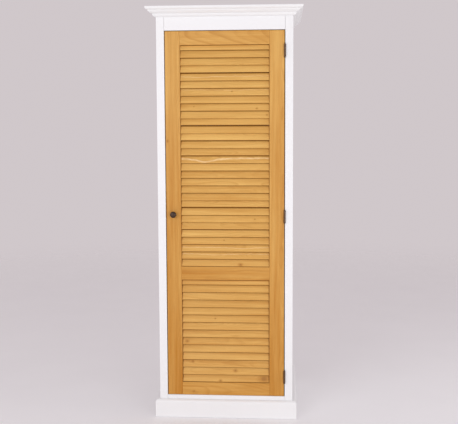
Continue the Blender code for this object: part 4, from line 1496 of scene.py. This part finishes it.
# ---------------------------------------------------------------- hinges
class WARDROBE_OT_hinges(bpy.types.Operator):
    """Three hinges with their leaves, barrels, pins and screws"""

    bl_idname = "wardrobe.hinges"
    bl_label = "Hinges"

    def execute(self, context):
        for place in ("top", "middle", "bottom"):
            for part, side, body in (("door", -1, "door"), ("frame", 1, "cabinet")):
                self.make_half(f"hinge_{place}_{part}_leaf", side, body)
            self.make_pin(f"hinge_{place}_pin")
        return {"FINISHED"}

    def make_half(self, node, side, body):
        """Half a barrel with its finial, and the leaf that it carries."""
        low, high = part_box(node)
        up = 1 if body == "door" else -1
        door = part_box(node.replace("_frame_", "_door_"))
        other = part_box(node.replace("_door_", "_frame_"))
        centre_z = (door[1].z + other[0].z) / 2
        half = (door[1].z - other[0].z) / 2
        radius = HINGE_AXIS.y - low.y
        finial = 0.006
        shoulder = half - finial
        start = 0.00025
        profile = [(0.0, start), (radius - 0.0003, start), (radius, start + 0.0003)]
        profile += [(radius, start + 0.0030), (radius - 0.00025, start + 0.0034)]
        profile += [(radius, start + 0.0038)]
        profile += [(radius, shoulder - 0.0022), (radius - 0.0004, shoulder - 0.0017)]
        profile += arc((radius - 0.0009, shoulder - 0.0008), 0.0009, -60, 80, 6)
        for step in range(1, 11):
            share = step / 10
            waist = 0.72 * math.cos(math.radians(90 * share)) ** 0.6 - 0.10 * math.sin(math.pi * share)
            profile.append((max(0.0, radius * waist), shoulder + finial * share))
        profile[-1] = (0.0, shoulder + finial)
        barrel = lathe_mesh(node, profile, 40)
        flip = Matrix.Scale(up, 4, Z_AXIS)
        axis = Vector((HINGE_AXIS.x, HINGE_AXIS.y, centre_z))
        parts = [(barrel, Matrix.Translation(axis) @ flip)]
        gap = sizes().fit_gap
        thickness = 0.00105
        face = HINGE_AXIS.x + side * gap / 2
        plate_low = Vector((min(face, face + side * thickness), FRONT + gap, centre_z - shoulder))
        plate_high = Vector((max(face, face + side * thickness), high.y, centre_z + shoulder))
        parts.append(self.plate(node, plate_low, plate_high, 0.0009))
        tab_low = Vector((plate_low.x, HINGE_AXIS.y + radius * 0.6, axis.z + start))
        tab_high = Vector((plate_high.x, FRONT + 2 * gap, axis.z + shoulder - 0.0015))
        if up < 0:
            tab_low.z, tab_high.z = 2 * axis.z - tab_high.z, 2 * axis.z - tab_low.z
        parts.append(self.plate(node, tab_low, tab_high, 0.0002))
        mesh = merge(node, parts)
        if up < 0:
            bm = bmesh.new()
            bm.from_mesh(mesh)
            bmesh.ops.recalc_face_normals(bm, faces=bm.faces)
            bm.to_mesh(mesh)
            bm.free()
        dress(mesh)
        settle(*add_piece(node, mesh, body, "dark_bronze", node))
        middle_y = (plate_low.y + plate_high.y) / 2
        places = []
        for height, shift in ((-0.021, 0.003), (0.0, -0.003), (0.021, 0.003)):
            places.append((face + side * 0.0001, middle_y + shift, centre_z + height))
        screws(node + "_screws", places, (-side, 0, 0), 0.0030, 0.0001, body, "dark_bronze")

    @staticmethod
    def plate(name, low, high, corner):
        """A thin upright plate with rounded corners, as (mesh, matrix)."""
        size = high - low
        outline = turned_corners([
            (-size.y / 2, -size.z / 2, corner),
            (size.y / 2, -size.z / 2, corner),
            (size.y / 2, size.z / 2, corner),
            (-size.y / 2, size.z / 2, corner),
        ])
        edge = 0.00012
        rings = []
        half = size.x / 2
        for x, inset in ((-half, edge), (-half + edge, 0), (half - edge, 0), (half, edge)):
            rings.append([(x, y, z) for y, z in shrunk(outline, inset)])
        work = bmesh.new()
        skin(work, rings)
        return mesh_from(name, work), Matrix.Translation((low + high) / 2)

    def make_pin(self, node):
        """The pin inside the two half barrels."""
        low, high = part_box(node)
        radius = (high.x - low.x) / 2
        half = (high.z - low.z) / 2
        edge = 0.0004
        profile = [(0.0, -half), (radius - edge, -half), (radius, -half + edge)]
        profile += [(radius, half - edge), (radius - edge, half), (0.0, half)]
        mesh = lathe_mesh(node, profile, 32)
        dress(mesh)
        piece, terms = add_piece(node, mesh, "cabinet", "dark_bronze", node)
        piece.matrix_world = Matrix.Translation((low + high) / 2)
        settle(piece, terms)


# ---------------------------------------------------------------- finishes and stage
class WARDROBE_OT_finishes(bpy.types.Operator):
    """Shader groups and materials of every finish"""

    bl_idname = "wardrobe.finishes"
    bl_label = "Finishes"

    def execute(self, context):
        for make in (
            make_timber_group,
            make_knot_group,
            make_streak_group,
            make_brushed_group,
            make_patina_group,
            make_pine,
            make_paint,
            make_bronze,
            make_steel,
            make_plastic,
            make_floor_finish,
        ):
            make()
        return {"FINISHED"}


class WARDROBE_OT_stage(bpy.types.Operator):
    """Floor, soft lights and camera"""

    bl_idname = "wardrobe.stage"
    bl_label = "Stage"

    def execute(self, context):
        self.make_floor()
        self.make_surroundings(context)
        self.make_lights()
        self.make_camera(context)
        return {"FINISHED"}

    def make_floor(self):
        """A wide plain disc under the wardrobe."""
        work = bmesh.new()
        bmesh.ops.create_circle(work, cap_ends=True, segments=96, radius=9.0)
        mesh = bpy.data.meshes.new("floor")
        work.to_mesh(mesh)
        work.free()
        mesh.materials.append(bpy.data.materials["pale_floor"])
        floor = bpy.data.objects.new("floor", mesh)
        floor.location = (0, 0, -0.0004)
        bpy.context.scene.collection.objects.link(floor)

    def make_surroundings(self, context):
        world = bpy.data.worlds.new("studio")
        world.use_nodes = True
        background = world.node_tree.nodes["Background"]
        background.inputs["Color"].default_value = (*studio().sky, 1.0)
        background.inputs["Strength"].default_value = 1.0
        context.scene.world = world
        context.scene.view_settings.view_transform = "Standard"

    def make_lights(self):
        target = Vector((0, FRONT, 1.0))
        lamps = (
            ("key", (-1.6, -3.7, 1.75), (2.2, 2.2), studio().key_power),
            ("fill", (1.9, -3.5, 0.95), (2.0, 1.8), studio().fill_power),
            ("side", (3.4, -0.6, 1.1), (1.6, 1.6), studio().side_power),
        )
        for name, place, (wide, tall), power in lamps:
            lamp = bpy.data.lights.new(name, "AREA")
            lamp.shape = "RECTANGLE"
            lamp.size = wide
            lamp.size_y = tall
            lamp.energy = power
            lamp.color = studio().light
            holder = bpy.data.objects.new(name, lamp)
            holder.location = place
            aim = target - Vector(place)
            holder.rotation_euler = aim.to_track_quat("-Z", "Y").to_euler()
            bpy.context.scene.collection.objects.link(holder)

    def make_camera(self, context):
        look = studio()
        camera = bpy.data.cameras.new("camera")
        camera.lens = look.lens
        camera.shift_y = look.rise
        holder = bpy.data.objects.new("camera", camera)
        place = Matrix.Translation((look.eye_side, FRONT - look.eye_distance, look.eye_height))
        aim = Matrix.Rotation(look.pan, 4, "Z") @ Matrix.Rotation(math.pi / 2 - look.dip, 4, "X")
        holder.matrix_world = place @ aim @ Matrix.Rotation(look.roll, 4, "Z")
        context.scene.collection.objects.link(holder)
        context.scene.camera = holder


# ---------------------------------------------------------------- sidebar and registration
BUILDERS = (
    WARDROBE_OT_finishes,
    WARDROBE_OT_carcass,
    WARDROBE_OT_face_frame,
    WARDROBE_OT_cornice,
    WARDROBE_OT_plinth,
    WARDROBE_OT_inside,
    WARDROBE_OT_catch,
    WARDROBE_OT_door_frame,
    WARDROBE_OT_slats,
    WARDROBE_OT_knob,
    WARDROBE_OT_hinges,
    WARDROBE_OT_stage,
)
SETTINGS = (
    ("wardrobe_sizes", WardrobeSizes),
    ("wardrobe_finishes", WardrobeFinishes),
    ("wardrobe_studio", WardrobeStudio),
)


class WARDROBE_PT_sidebar(bpy.types.Panel):
    """Lists the steps that build the wardrobe"""

    bl_idname = "WARDROBE_PT_sidebar"
    bl_label = "Louvred wardrobe"
    bl_space_type = "VIEW_3D"
    bl_region_type = "UI"
    bl_category = "Wardrobe"

    def draw(self, context):
        for builder in BUILDERS:
            self.layout.operator(builder.bl_idname)
        for name, group in SETTINGS:
            box = self.layout.box()
            for label in group.__annotations__:
                box.prop(getattr(context.scene, name), label)


def register():
    for name, group in SETTINGS:
        bpy.utils.register_class(group)
        setattr(bpy.types.Scene, name, PointerProperty(type=group))
    for builder in BUILDERS:
        bpy.utils.register_class(builder)
    bpy.utils.register_class(WARDROBE_PT_sidebar)


def unregister():
    bpy.utils.unregister_class(WARDROBE_PT_sidebar)
    for builder in reversed(BUILDERS):
        bpy.utils.unregister_class(builder)
    for name, group in reversed(SETTINGS):
        delattr(bpy.types.Scene, name)
        bpy.utils.unregister_class(group)


def main():
    register()
    for builder in BUILDERS:
        step = builder.bl_idname.split(".")[1]
        getattr(bpy.ops.wardrobe, step)()


if __name__ == "__main__":
    main()
